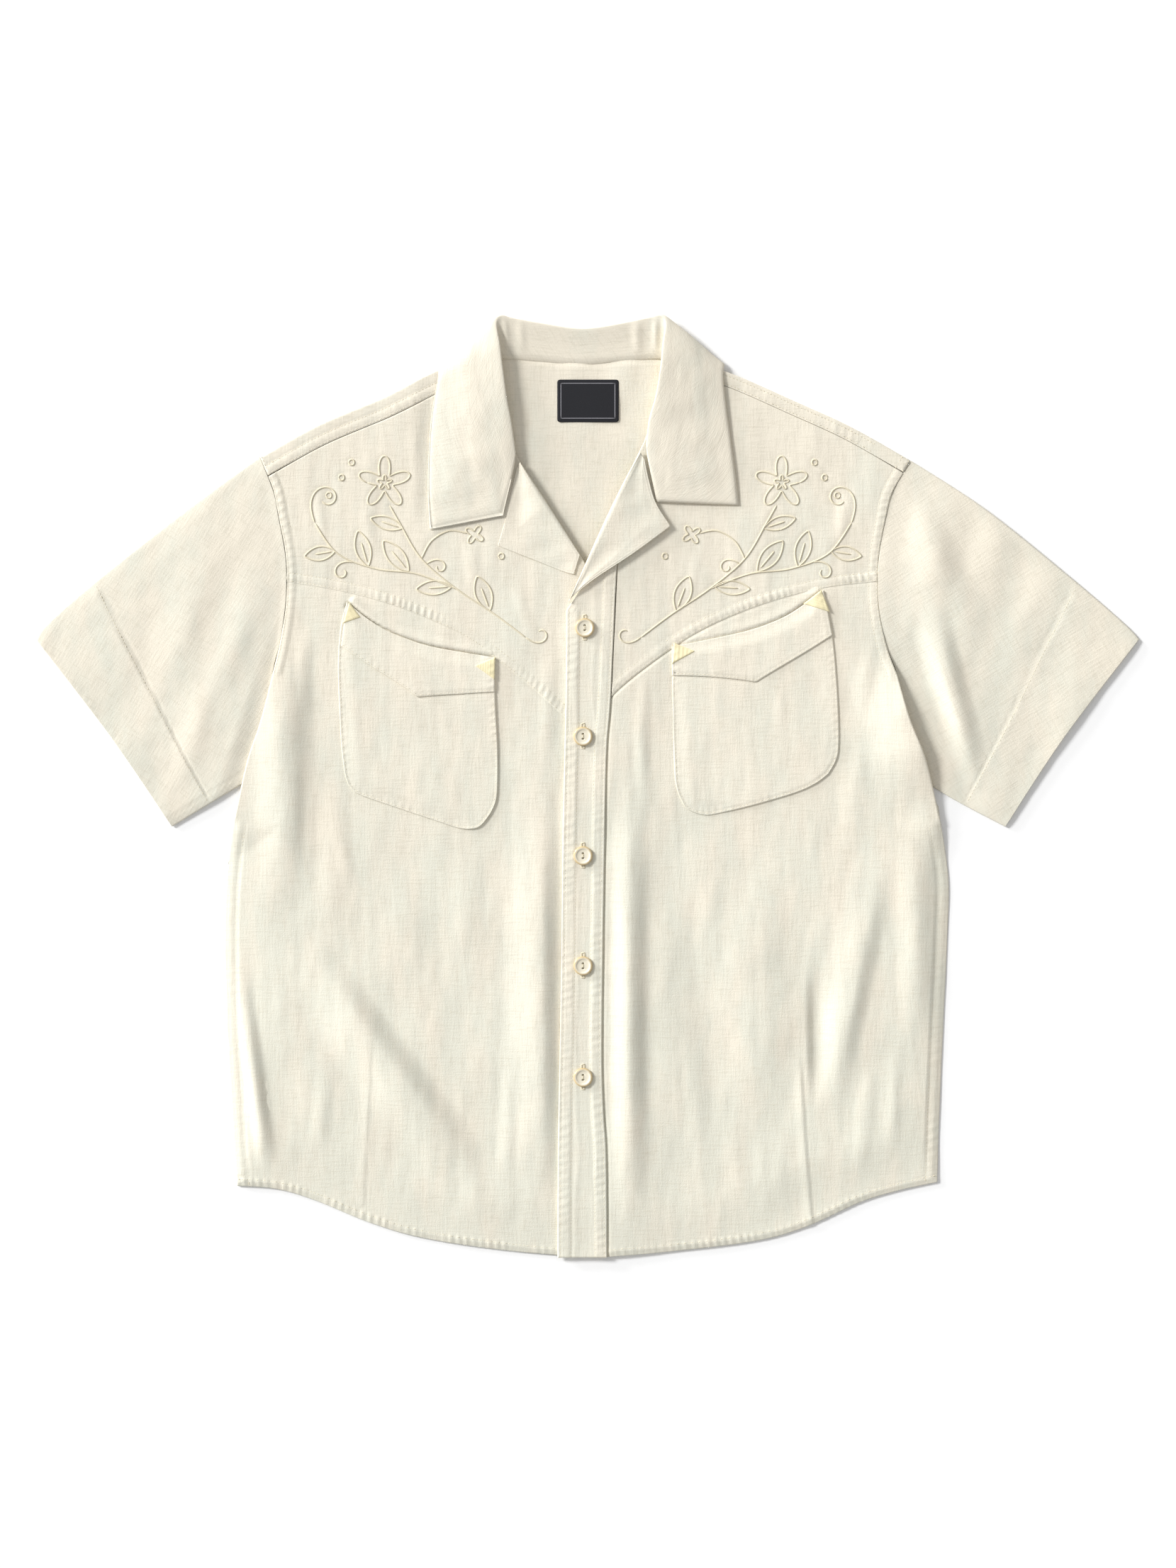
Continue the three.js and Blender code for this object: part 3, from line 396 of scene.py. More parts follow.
# From the wearer's right front end round the back of the neck to the left front end.
COLLAR = [
    section((-67, 262, 5.9), (-57.5, 264, 8.6), (-66.5, 213.7, 7.2), (-124.4, 202.8, 6)),
    section((-76, 276, 6), (-60, 284, 10.6), (-88, 258, 9.6), (-126, 233, 6)),
    section((-80, 298, 6), (-64, 306, 12.4), (-92, 295, 10.4), (-124.4, 280, 6)),
    section((-84, 318, 6.1), (-67, 328, 13), (-94, 322, 10.8), (-121, 307, 6.2)),
    section((-82, 328, 6.4), (-69.5, 348, 12.2), (-95, 340.5, 9.8), (-118, 323.5, 6.4)),
    section((-78, 335, 6.6), (-72, 367.6, 9.4), (-95, 350.5, 6), (-118.2, 331, 3.4)),
    section((-72, 336.5, 5.0), (-68.5, 371.2, 8.4), (-92, 351, 2.2), (-116.5, 328.5, 0.9)),
    section((-66, 337, 4.0), (-60, 369.4, 7.6), (-76, 351, 1.6), (-106, 312, 0.7)),
    section((-38, 335, 3.5), (-33, 364.5, 7), (-38, 349, 1.5), (-50, 297, 0.7)),
    section((-5, 332.5, 3.5), (-5, 361, 6.6), (-5, 347, 1.4), (-5, 293, 0.7)),
    section((28, 335, 3.5), (23, 364.5, 7), (28, 349, 1.5), (40, 297, 0.7)),
    section((56, 337, 4.0), (50, 370, 7.6), (66, 351, 1.6), (95, 311, 0.7)),
    section((62, 336.5, 5.0), (58.5, 371.4, 8.4), (82, 351.5, 2.2), (107, 330, 0.9)),
    section((68, 335, 6.6), (61.5, 368, 9.4), (85, 351.5, 6), (108, 333, 3.4)),
    section((72, 328, 6.4), (59.5, 348, 12.2), (83, 341.5, 9.8), (107, 326, 6.4)),
    section((73, 318, 6.1), (57.5, 329, 13), (82, 322, 10.8), (108, 310, 7.4)),
    section((70, 300, 6), (54, 308, 12.4), (80, 296, 10.6), (112, 280, 7.4)),
    section((64, 282, 6), (48.5, 288, 10.8), (76, 264, 9.8), (116, 250, 7.2)),
    section((57, 272, 6), (47, 271, 8.8), (54.2, 224.5, 7.6), (119.5, 222, 6.2)),
]
POCKET = {
    "right": {
        "mouth": [(-190, 146), (-176, 134.4), (-159, 123.6), (-138, 115), (-117, 109.4), (-73, 102)],
        "outer": [(-189.1, 2.4), (-191.7, 11.5), (-194.3, 32.4), (-195.6, 56), (-196.9, 95), (-195, 125),
                  (-190, 146)],
        "foot": [(-189.1, 2.4), (-185.2, -2.8), (-178.6, -6.8), (-160.3, -13.3), (-121.1, -26.4),
                 (-102.8, -32.4), (-92.4, -33.4), (-84.5, -30.8), (-76.7, -21.1)],
        "inner": [(-76.7, -21.1), (-72.2, -10.7), (-70.9, 3.7), (-70.9, 29.8), (-72.8, 69), (-73, 102)],
        "band": [(-194.5, 111), (-171, 95.2), (-150, 82.1), (-138, 73.6), (-134.2, 71), (-130, 71.1),
                 (-113, 72.4), (-73.4, 74.8)],
    },
    "left": {
        "mouth": [(66.3, 110.5), (107, 118.7), (129, 124), (146, 130), (162, 138), (186, 155)],
        "inner": [(75.5, -13.5), (70.4, -1.5), (68.3, 16.8), (67, 69), (66.3, 110.5)],
        "foot": [(75.5, -13.5), (80.1, -18.5), (93.2, -22.4), (108.8, -19.8), (135, -13.3), (163.7, -4.7),
                 (179.4, 2.4), (189.9, 10.2)],
        "outer": [(189.9, 10.2), (196.4, 22), (198.2, 35.1), (197.7, 61.2), (195.6, 95), (192.5, 123),
                  (186, 155)],
        "band": [(66.8, 87.9), (96, 86.8), (122, 84.2), (128.5, 83.2), (132.7, 82.8), (136.2, 84.8),
                 (148, 92.1), (174.2, 107.7), (193, 119.6)],
    },
}
# The two upright sides of a pocket, in the order of +X.
POCKET_SIDES = {"right": ("outer", "inner"), "left": ("inner", "outer")}
print("collar sections:", len(COLLAR))

# %% [markdown]
# ## Curves and patches
# A seam is a smooth curve through a few named places. A piece of cloth between four such curves is a Coons
# patch: it mixes the opposite edges, and takes the corners out once because both mixes bring them in. That is
# the simplest surface that fits four free curves, so each panel keeps its true outline at any fineness.

# %% Curves through named places
def spline(points, alpha=0.0, cells=40):
    """Catmull-Rom curve: each stretch is a cubic whose end slopes come from the neighbouring points.

    alpha 0 counts every stretch as equally long, and 0.5 by the root of its length, which never loops.
    """
    p = np.asarray(points, float)
    before, after = (p[0], p[-1]) if alpha == 0 else (2 * p[0] - p[1], 2 * p[-1] - p[-2])
    full = np.concatenate([before[None], p, after[None]])
    a, b, c, d = full[:-3], full[1:-2], full[2:-1], full[3:]
    pairs = ((a, b), (b, c), (c, d))
    knots = [np.maximum(np.linalg.norm(n - m, axis=-1, keepdims=True), 1e-6) ** alpha for m, n in pairs]
    leave = ((b - a) / knots[0] - (c - a) / (knots[0] + knots[1]) + (c - b) / knots[1]) * knots[1]
    arrive = ((c - b) / knots[1] - (d - b) / (knots[1] + knots[2]) + (d - c) / knots[2]) * knots[1]
    w = (np.arange(cells) / cells).reshape((1, cells) + (1,) * (p.ndim - 1))
    b, c, leave, arrive = (m[:, None] for m in (b, c, leave, arrive))
    cubic = b + leave * w + (3 * (c - b) - 2 * leave - arrive) * w**2 + (2 * (b - c) + leave + arrive) * w**3
    return np.concatenate([cubic.reshape((-1,) + p.shape[1:]), p[-1:]])


def steps_of(path):
    """Lengths of the steps from each point of a path to the next."""
    return np.linalg.norm(np.diff(path, axis=0), axis=1)


def tangents_of(path):
    """Unit tangents at the points of a path."""
    tangents = np.gradient(path, axis=0)
    return tangents / np.linalg.norm(tangents, axis=1, keepdims=True)


def moved_left(path, distance):
    """A path moved to its left by a distance, along its own normals."""
    tangents = tangents_of(path)
    return path + distance * np.stack([-tangents[:, 1], tangents[:, 0]], 1)


def along(samples, t):
    """Places at the shares t of a curve's length: the length is summed up, then read backwards."""
    run = np.concatenate([[0], np.cumsum(steps_of(samples))])
    wanted = np.asarray(t) * run[-1]
    return np.stack([np.interp(wanted, run, column) for column in samples.T], -1)


def closest(path, place):
    """The sample of a path that is closest to a place."""
    return path[np.argmin(np.linalg.norm(path - place, axis=1))]


def edge(*stretches):
    """A curve as a function of 0..1. Each (points, share) stretch takes its share, so corners stay put."""
    curves = [spline(points) if len(points) > 2 else np.asarray(points, float) for points, _ in stretches]
    knots = np.cumsum([0.0] + [share for _, share in stretches])
    knots = knots / knots[-1]

    def at(t):
        """Places at the shares t, read from the stretch that each share falls in."""
        t = np.clip(np.asarray(t, float), 0, 1)
        places = np.zeros(t.shape + (curves[0].shape[1],))
        for curve, low, high in zip(curves, knots[:-1], knots[1:]):
            inside = t >= low - 1e-9
            places[inside] = along(curve, (t[inside] - low) / (high - low))
        return places

    return at


def whole(points):
    """A curve through all points as a function of 0..1, without corners between."""
    return edge((points, 1))


def sampled(samples):
    """A curve that is given by many samples, as a function of 0..1."""
    def at(t):
        """Places at the shares t of the length."""
        return along(samples, t)
    return at


def reverse(curve):
    """The same curve run backwards."""
    def at(t):
        """Places at the shares t, counted from the far end."""
        return curve(1 - np.asarray(t, float))
    return at


def patch(bottom, top, first, last, u, v):
    """Coons patch: both pairs of edges are mixed and added, and the mix of the four corners is taken away."""
    across, up = u[None, :, None], v[:, None, None]
    mixed = bottom(u)[None] * (1 - up) + top(u)[None] * up
    mixed = mixed + first(v)[:, None] * (1 - across) + last(v)[:, None] * across
    ends = np.array([0.0, 1.0])
    (low_a, low_b), (high_a, high_b) = bottom(ends), top(ends)
    low = low_a * (1 - across) + low_b * across
    high = high_a * (1 - across) + high_b * across
    return mixed - low * (1 - up) - high * up


def panel(side, bottom, top, outer, inner, u, v):
    """Patch of a piece drawn from its outer edge inwards, turned so that its columns run to +X."""
    if side == "right":
        return patch(bottom, top, outer, inner, u, v)
    return patch(reverse(bottom), reverse(top), inner, outer, u, v)


print("length of the right yoke seam in mm:", round(float(steps_of(spline(YOKE_SEAM["right"])).sum())))

# %% Grid lines
UNDER_STEP = 6


def lines(length, fine, coarse=None, border=14, multiple=UNDER_STEP):
    """Shares of a side's length for grid lines: close at the rims, fine near them and coarse between.

    The wanted spacing is a function of the distance to the nearer end. Its inverse is summed and read back.
    """
    coarse = fine if coarse is None else coarse
    s = np.linspace(0, length, 4001)
    near_end = np.minimum(s, length - s)
    step = coarse + (fine - coarse) * smooth(border * 1.4, border, near_end)
    step = np.minimum(step, 0.35 + 0.6 * near_end)
    count = np.concatenate([[0], np.cumsum(1 / step[:-1]) * (s[1] - s[0])])
    cells = multiple * math.ceil(count[-1] / multiple)
    return np.interp(np.linspace(0, count[-1], cells + 1), count, s) / length


print("lines across 100 mm at 2 mm:", len(lines(100, 2)))

# %% [markdown]
# ## From a grid to a closed shell
# Real cloth has two faces and a folded rim. The upper face is a fine grid, because it shows. The lower face
# lies on something, so it takes only every sixth line, and small fans of triangles join the two rims. The
# shell is closed, its faces point outwards, and it costs little more than the face that shows.

# %% Meshes from arrays
def mesh_object(name, points, faces, material, cut=None):
    """Makes an object from points in mm and a list of face arrays, one array for each number of corners."""
    mesh = bpy.data.meshes.new(name)
    corners = np.concatenate([f.ravel() for f in faces])
    sizes = np.concatenate([np.full(len(f), f.shape[1]) for f in faces])
    mesh.vertices.add(len(points))
    mesh.vertices.foreach_set("co", (points * MM).astype(np.float32).ravel())
    mesh.loops.add(len(corners))
    mesh.loops.foreach_set("vertex_index", corners.astype(np.int32))
    mesh.polygons.add(len(sizes))
    mesh.polygons.foreach_set("loop_start", np.concatenate([[0], np.cumsum(sizes)[:-1]]).astype(np.int32))
    mesh.update(calc_edges=True)
    mesh.shade_smooth()
    cut = points[:, :2] if cut is None else cut
    layer = mesh.uv_layers.new(name="cut")
    layer.data.foreach_set("uv", (cut[corners] * MM).astype(np.float32).ravel())
    mesh.materials.append(material)
    thing = bpy.data.objects.new(name, mesh)
    bpy.context.collection.objects.link(thing)
    return thing


def grid_faces(rows, columns, around=False, keep=None):
    """Quads of a grid that face up where rows run to +Y and columns to +X.

    around joins the last column to the first, and keep is a mask of the cells that stay.
    """
    cells = columns if around else columns - 1
    i, j = np.meshgrid(np.arange(rows - 1), np.arange(cells), indexing="ij")
    i, j = (i.ravel(), j.ravel()) if keep is None else (i[keep], j[keep])
    after = (j + 1) % columns
    low, high = i * columns, (i + 1) * columns
    return np.stack([low + j, low + after, high + after, high + j], 1)


def rim_loop(rows, columns):
    """Indices round a grid's border, anticlockwise seen from above."""
    index = np.arange(rows * columns).reshape(rows, columns)
    return np.concatenate([index[0, :-1], index[:-1, -1], index[-1, :0:-1], index[:0:-1, 0]])


def shell(name, upper, lower, material):
    """Closed wall: the fine upper grid, every sixth line of the lower one, and fans of triangles between."""
    rows, columns = upper.shape[:2]
    under = lower[::UNDER_STEP, ::UNDER_STEP]
    start = rows * columns
    fine = rim_loop(rows, columns)
    coarse = rim_loop(*under.shape[:2]) + start
    following = np.roll(coarse, -1)
    stations = np.arange(len(coarse))[:, None] * UNDER_STEP + np.arange(UNDER_STEP + 1)[None]
    ring = fine[stations % len(fine)]
    half = UNDER_STEP // 2
    fans = []
    for k in range(UNDER_STEP):
        foot = coarse if k < half else following
        fans.append(np.stack([ring[:, k + 1], ring[:, k], foot], 1))
    fans.append(np.stack([ring[:, half], coarse, following], 1))
    bottom = grid_faces(*under.shape[:2])[:, ::-1] + start
    faces = [np.concatenate([grid_faces(rows, columns), bottom]), np.concatenate(fans)]
    return mesh_object(name, np.concatenate([upper.reshape(-1, 3), under.reshape(-1, 3)]), faces, material)


def wall(name, upper, lower, material, keep=None, around=False, cut=None):
    """Closed wall between two equal grids: both faces, and a strip along each edge with one face only."""
    top = grid_faces(*upper.shape[:2], around, keep)
    count = upper.shape[0] * upper.shape[1]
    outgoing = np.concatenate([top[:, [k, (k + 1) % 4]] for k in range(4)])
    code = outgoing[:, 0] * count + outgoing[:, 1]
    border = outgoing[~np.isin(code, outgoing[:, 1] * count + outgoing[:, 0])]
    sides = np.stack([border[:, 1], border[:, 0], border[:, 0] + count, border[:, 1] + count], 1)
    faces = np.concatenate([top, top[:, ::-1] + count, sides])
    points = np.concatenate([upper.reshape(-1, 3), lower.reshape(-1, 3)])
    cuts = points[:, :2] if cut is None else np.concatenate([cut.reshape(-1, 2)] * 2)
    used, renumbered = np.unique(faces, return_inverse=True)
    return mesh_object(name, points[used], [renumbered.reshape(-1, 4)], material, cuts[used])


print("rim of a 7 by 7 grid:", len(rim_loop(7, 7)), "points")

# %% [markdown]
# ## Folds and waves
# Light cloth laid on a table keeps soft folds: the broad ones run between the places that hold it, such as
# the placket and the side seams, and many faint ones lie between. The broad ones are listed in a table, as
# cosine ridges that fade out at both ends. One side may be steeper than the other, because a fold
# leans. The faint ones are a sum of long sine waves in seeded directions, so they are the same on every
# run.

# %% Fold tables
# Each row is a ridge: start, end, width of its left slope, height, and lean, which is the width of the right
# slope over that of the left one.
MAIN_FOLDS = [
    ((-242, 140), (-237, -100), 26, 4.8, 1.2),
    ((-283, -110), (-251, -322), 12, 9.0, 0.8),
    ((-230, -120), (-84, -312), 21, 6.5, 1.8),
    ((-36, 40), (-36, -372), 15, 4.4, 2.2),
    ((33, 20), (33, -372), 17, 5.0, 1.0),
    ((63, -60), (66, -300), 34, 1.4, 0.6),
    ((132, -60), (140, -262), 34, 2.2, 1.3),
    ((233, -52), (189, -262), 15, 3.2, 2.0),
    ((179, -138), (181, -256), 20, -3.2, 0.42),
    ((266, -4), (268, -222), 14, 5.5, 1.8),
    ((238, 112), (276, -22), 14, 7.8, 3.2),
]
SLEEVE_FOLDS = [
    ((-270, 225), (-352, 62), 22, 1.0, 1.2),
    ((-300, 90), (-322, -6), 15, 1.4, 1.2),
    ((-262, 150), (-300, 60), 14, 0.8, 1.0),
    ((232, 266), (310, 110), 22, 3.0, 1.5),
    ((267, 158), (310, -6), 14, 4.2, 1.5),
    ((352, 190), (392, 96), 22, 0.8, 1.0),
]
SOFT_CREASES = [
    ((-196, -30), (-186, -84), 9, 0.6, 1.0),
    ((-222, 20), (-226, -66), 8, -0.7, 1.0),
    ((-90, -40), (-100, -150), 16, 0.6, 1.0),
    ((-150, -60), (-128, -170), 20, 0.5, 1.0),
    ((-206, -215), (-214, -300), 11, 0.7, 1.0),
    ((-100, -270), (-82, -350), 13, 0.6, 1.0),
    ((-30, 130), (-33, 20), 9, 0.6, 1.0),
    ((44, 96), (42, -10), 8, 0.6, 1.0),
    ((-60, -180), (-66, -340), 10, 0.8, 1.0),
    ((-196, 20), (-206, -120), 16, 0.9, 1.0),
    ((243, -200), (240, -300), 8, 0.6, 1.0),
    ((222, -214), (214, -318), 10, 0.7, 1.0),
    ((100, -60), (92, -170), 15, 0.6, 1.0),
    ((84, -190), (88, -300), 14, 0.6, 1.0),
    ((112, -250), (122, -340), 12, 0.5, 1.0),
    ((214, 40), (206, -60), 15, 0.7, 1.0),
    ((224, 120), (214, 50), 9, 0.6, 1.0),
    ((-222, 130), (-226, 50), 9, 0.7, 1.0),
    ((40, 60), (48, -30), 9, 0.5, 1.0),
]
YOKE_CREASES = [
    ((-124, 330), (-127, 190), 6, -1.1, 2.0),
    ((-208, 190), (-214, 240), 7, 0.5, 1.0),
    ((-96, 200), (-84, 140), 9, 0.5, 1.0),
    ((-170, 180), (-176, 230), 8, 0.4, 1.0),
    ((-60, 165), (-40, 110), 7, 0.4, 1.0),
    ((118, 190), (110, 150), 8, 0.5, 1.0),
    ((196, 186), (206, 236), 8, 0.5, 1.0),
    ((90, 196), (78, 140), 7, 0.4, 1.0),
    ((150, 210), (146, 262), 9, 0.4, 1.0),
]


def folds_height(folds, x, y):
    """Sum of cosine ridges over the distance from each line, faded out at both ends of the line."""
    height = np.zeros(np.broadcast(x, y).shape)
    for (ax, ay), (bx, by), left_width, top, lean in folds:
        length = math.hypot(bx - ax, by - ay)
        dx, dy = (bx - ax) / length, (by - ay) / length
        side = (x - ax) * dy - (y - ay) * dx
        width = np.where(side < 0, left_width, left_width * lean)
        distance = np.clip(np.abs(side) / width, 0, 1)
        run = ((x - ax) * dx + (y - ay) * dy) / length
        ends = smooth(0, 0.42, run) * smooth(0, 0.42, 1 - run)
        height = height + top * ends * (0.5 + 0.5 * np.cos(np.pi * distance))
    return height


def waves(x, y, longest, shortest, height, count, seed):
    """Sum of sine waves: a seed draws their directions, lengths and phases, and height scales the sum."""
    rng = np.random.default_rng(seed)
    angles = rng.uniform(0, math.pi, count)
    numbers = 2 * math.pi / rng.uniform(shortest, longest, count)
    phases = rng.uniform(0, 2 * math.pi, count)
    total = np.zeros(np.broadcast(x, y).shape)
    for angle, number, phase in zip(angles, numbers, phases):
        total = total + np.sin(number * (x * math.cos(angle) + y * math.sin(angle)) + phase)
    return total * height / math.sqrt(count / 2)


# Groups of faint waves: stretch along Y, longest and shortest wave, height, number of waves and seed.
CLOTH_WAVES = [(0.6, 75, 34, 0.24, 14, 3), (0.5, 26, 12, 0.055, 22, 5), (0.3, 13, 7, 0.024, 30, 6)]
SLEEVE_WAVES = [(1, 80, 36, 0.26, 12, 13), (1, 28, 13, 0.05, 18, 15)]
COLLAR_WAVES = [(1, 60, 24, 0.17, 12, 31), (0.5, 18, 9, 0.07, 14, 33), (0.4, 9, 5, 0.022, 20, 34)]


def wave_groups(groups, x, y):
    """Sum of all groups of waves in a table."""
    return sum(waves(x, stretch_y * y, *row) for stretch_y, *row in groups)


hip_height = folds_height(MAIN_FOLDS, np.array(-180.0), np.array(-198.0))
print("height of the folds at the right hip:", round(float(hip_height), 2))

# %% Levels of the layers
HALF_CHEST = 285
# Where the body begins to lie over the sleeve, and where it does so fully.
OVER_SLEEVE = (-62, -30)
# The hem's lowest level, and how far it climbs towards the sides.
HEM_LEVEL, HEM_CLIMB = -372, 56


def rise_of(x, y):
    """How far a front has risen from its edges: 0 at side seam and hem, and 1 inside or over the sleeve."""
    side_rise = smooth(0, EDGE_ROLL, HALF_CHEST - np.abs(x))
    hem = HEM_LEVEL + HEM_CLIMB * smooth(60, 255, np.abs(x))
    return np.maximum(side_rise, smooth(*OVER_SLEEVE, y)) * smooth(0, EDGE_ROLL, y - hem)


def front_level(side, x, y):
    """Underside of a front: a cloth's thickness above the back, plus the overlap, the loft and the folds."""
    lap = (WALL + SEAM) * smooth(78, 24, x) if side == "left" else 0
    return WALL + SEAM + lap + (LOFT + folds_height(MAIN_FOLDS, x, y)) * rise_of(x, y)


def above_front(side, gap):
    """Underside of a piece that lies a gap above a front's own underside, as a function of x and y."""
    def height(x, y):
        """The front's level and the gap."""
        return front_level(side, x, y) + gap
    return height


def back_level(x, y):
    """Underside of the back: on the floor, but lifted at the neck, where it lies on the collar's leaf."""
    return NECK_LIFT * smooth(232, 284, y) * smooth(152, 124, np.abs(x + 5))


def softness(x, y):
    """Faint waves and creases that all layers share, so that a pocket follows the cloth below it."""
    creases = folds_height(SOFT_CREASES, x, y) + folds_height(YOKE_CREASES, x, y)
    return (wave_groups(CLOTH_WAVES, x, y) + creases) * (0.3 + 0.7 * rise_of(x, y))


chest_level = front_level("right", np.array(-120.0), np.array(60.0))
print("top of the front at the chest in mm:", round(float(chest_level) + WALL, 2))

# %% [markdown]
# ## Sewing that shapes the cloth
# A seam pulls its thread tight, so the cloth beside it puckers into small ribs across the seam, about 5 mm
# apart. The stitch line itself sinks in as a groove, and the folded allowance below makes a low step. All
# three are functions of two numbers: the distance from the seam and the length run along it.

# %% Distance to a seam and length along it
# Distance given to points out of reach of a path, and the limit under which a distance counts as found.
FAR, FOUND = 1e3, 900
SAMPLE_STEP = 1.5
BEYOND_END = 0.8
CHUNK = 4000


def near(path, x, y, reach):
    """Signed distance to a path, positive on its left, and length along it. Out of reach the distance is FAR.

    Each point takes its nearest sample of the path, and the sample's tangent splits the rest into two parts.
    """
    samples = along(path, np.linspace(0, 1, int(steps_of(path).sum() / SAMPLE_STEP) + 2))
    run = np.concatenate([[0], np.cumsum(steps_of(samples))])
    tangents = tangents_of(samples)
    flat_x, flat_y = np.ravel(x), np.ravel(y)
    low, high = samples.min(0) - reach, samples.max(0) + reach
    inside = np.nonzero((flat_x > low[0]) & (flat_x < high[0]) & (flat_y > low[1]) & (flat_y < high[1]))[0]
    distance = np.full(flat_x.shape, FAR)
    length = np.zeros(flat_x.shape)
    for chosen in np.array_split(inside, max(1, len(inside) // CHUNK)):
        points = np.stack([flat_x[chosen], flat_y[chosen]], 1)
        nearest = ((points[:, None] - samples[None]) ** 2).sum(2).argmin(1)
        offset = points - samples[nearest]
        tangent = tangents[nearest]
        forward = (offset * tangent).sum(1)
        before = (nearest == 0) & (forward < -BEYOND_END)
        after = (nearest == len(samples) - 1) & (forward > BEYOND_END)
        sideways = tangent[:, 0] * offset[:, 1] - tangent[:, 1] * offset[:, 0]
        distance[chosen] = np.where(before | after, FAR, sideways)
        length[chosen] = run[nearest] + forward
    return distance.reshape(np.shape(x)), length.reshape(np.shape(x))


def pucker(distance, length, low, high, pitch, height, seed):
    """Ribs across a seam between two distances: a cosine along it whose phase and height drift."""
    still = np.zeros_like(length)
    drift = waves(length, still, 60, 18, 1.0, 6, seed)
    strength = np.clip(0.58 + 0.45 * waves(length, still, 90, 30, 1.0, 5, seed + 1), 0.04, 1.2)
    band = smooth(low - 1.4, low + 0.6, distance) * smooth(high + 1.8, high - 1.0, distance)
    phase = 2 * math.pi * length / pitch + 0.8 * drift + 0.25 * distance
    return height * strength * band * (0.5 + 0.5 * np.cos(phase)) ** 1.4


def groove(distance, place, depth, width=0.9):
    """A stitch line sunk in the cloth: a bell-shaped trough at one distance from the seam."""
    return -depth * np.exp(-(((distance - place) / width) ** 2))


# %% Seams with their stitches
# low and high bound the puckers on the path's left, and stitches are the distances of its stitch lines. step
# is the height of the folded allowance up to the last stitch, and a negative one sinks the rim instead. sunk
# is the depth of the stitch lines.
Seam = namedtuple("Seam", "piece path pitch height low high stitches step seed sunk", defaults=[0.22])

FORWARD = {
    "right": moved_left(spline(SHOULDER["right"]), -FORWARD_SEAM["right"]),
    "left": moved_left(spline(SHOULDER["left"][::-1]), -FORWARD_SEAM["left"]),
}
DART = {
    "right": [(-169, -197), (-172.4, -262), (-176, -330)],
    "left": [(168.8, -213), (173, -282), (178.6, -348)],
}
CUFF = {
    "right": [(-387.5, 161.3), (-364.6, 114.8), (-339.9, 67.2), (-318.6, 25.2), (-297.9, -12.3)],
    "left": [(384.2, 158.5), (360, 110), (336.6, 61.6), (317, 24), (297.9, -12.3)],
}
YOKE_PATH = {"right": spline(YOKE_SEAM["right"]), "left": spline(YOKE_SEAM["left"][::-1])}
HEM_PATH = {"right": spline(HEM["right"]), "left": spline(HEM["left"][::-1])}
SIDE_PATH = {"right": spline(SIDE["right"][::-1]), "left": spline(SIDE["left"])}
BODY_ARMHOLE = {
    "right": spline(ARMHOLE["right"][BODY_EDGE:][::-1]),
    "left": spline(ARMHOLE["left"][BODY_EDGE:]),
}
SEAMS = []
ARMHOLE_STITCHES = (1.3, 7.4)
# Step of the armhole's allowance, and the depth of its stitch lines.
ARMHOLE_STRIP = {"right": (0.42, 0.42), "left": (0.2, 0.22)}
for which, side in enumerate(SIDES):
    front, yoke = f"front_{side}", f"yoke_{side}"
    strip, sunk = ARMHOLE_STRIP[side]
    SEAMS += [
        Seam(yoke, YOKE_PATH[side], 5.3, 0.62, 1.8, 7.0, (1.4, 7.6), 0.12, 20 + which),
        Seam(front, HEM_PATH[side], 6.1, 0.5, 0.6, 6.2, (5.4,), 0.15, 30 + which),
        Seam(front, SIDE_PATH[side], 7.5, 0.2, 1.0, 9.0, (9.5,), -0.9, 40 + which),
        Seam(front, BODY_ARMHOLE[side], 6.4, 0.2, 0.8, 5.8, ARMHOLE_STITCHES, strip, 50 + which, sunk),
        Seam(yoke, BODY_ARMHOLE[side], 6.4, 0.2, 0.8, 5.8, ARMHOLE_STITCHES, strip, 60 + which, sunk),
    ]
PLACKET_PATH = {"right": spline(PLACKET["right"][::-1]), "left": spline(PLACKET["left"])}
SEAMS += [
    Seam("placket", PLACKET_PATH["left"], 6.8, 0.22, 1.0, 8.5, (2.2, 9.6), 0.4, 70),
    Seam("placket", PLACKET_PATH["right"], 6.8, 0.22, 1.0, 8.5, (2.4, 10.4), 0.4, 72),
]


def pocket_outline(side):
    """Outer side, foot and inner side of a pocket as one path whose left is the pocket."""
    table = POCKET[side]
    first, last = POCKET_SIDES[side]
    return np.concatenate([spline(table[first][::-1])[:-1], spline(table["foot"])[:-1], spline(table[last])])


POCKET_PATH = {side: pocket_outline(side) for side in SIDES}
BAND_PATH = {side: spline(POCKET[side]["band"]) for side in SIDES}
MOUTH_PATH = {side: spline(POCKET[side]["mouth"]) for side in SIDES}
for which, side in enumerate(SIDES):
    SEAMS += [
        Seam(f"pocket_{side}", POCKET_PATH[side], 6.0, 0.2, 0.8, 4.6, (1.6,), 0.25, 80 + which),
        Seam(f"pocket_band_{side}", BAND_PATH[side], 6.4, 0.18, 0.8, 5.0, (1.5,), 0.2, 90 + which),
    ]


def sewn(piece, x, y):
    """Height that the sewing of one piece adds: its allowances, puckers and stitch grooves.

    An allowance is a low step up to its last stitch. A negative step sinks the rim, and fades at both ends.
    """
    height = np.zeros(np.broadcast(x, y).shape)
    for row in SEAMS:
        if row.piece != piece:
            continue
        distance, length = near(row.path, x, y, 18)
        last = row.stitches[-1]
        share = distance < FOUND
        if row.step < 0:
            total = steps_of(row.path).sum()
            share = share * smooth(0, 40, length) * smooth(0, 40, total - length)
        rise = row.step * smooth(last + 1.6, last - 0.8, distance) * share
        ribs = pucker(distance, length, row.low, row.high, row.pitch, row.height, row.seed)
        height = height + rise + ribs + sum(groove(distance, place, row.sunk) for place in row.stitches)
    return height


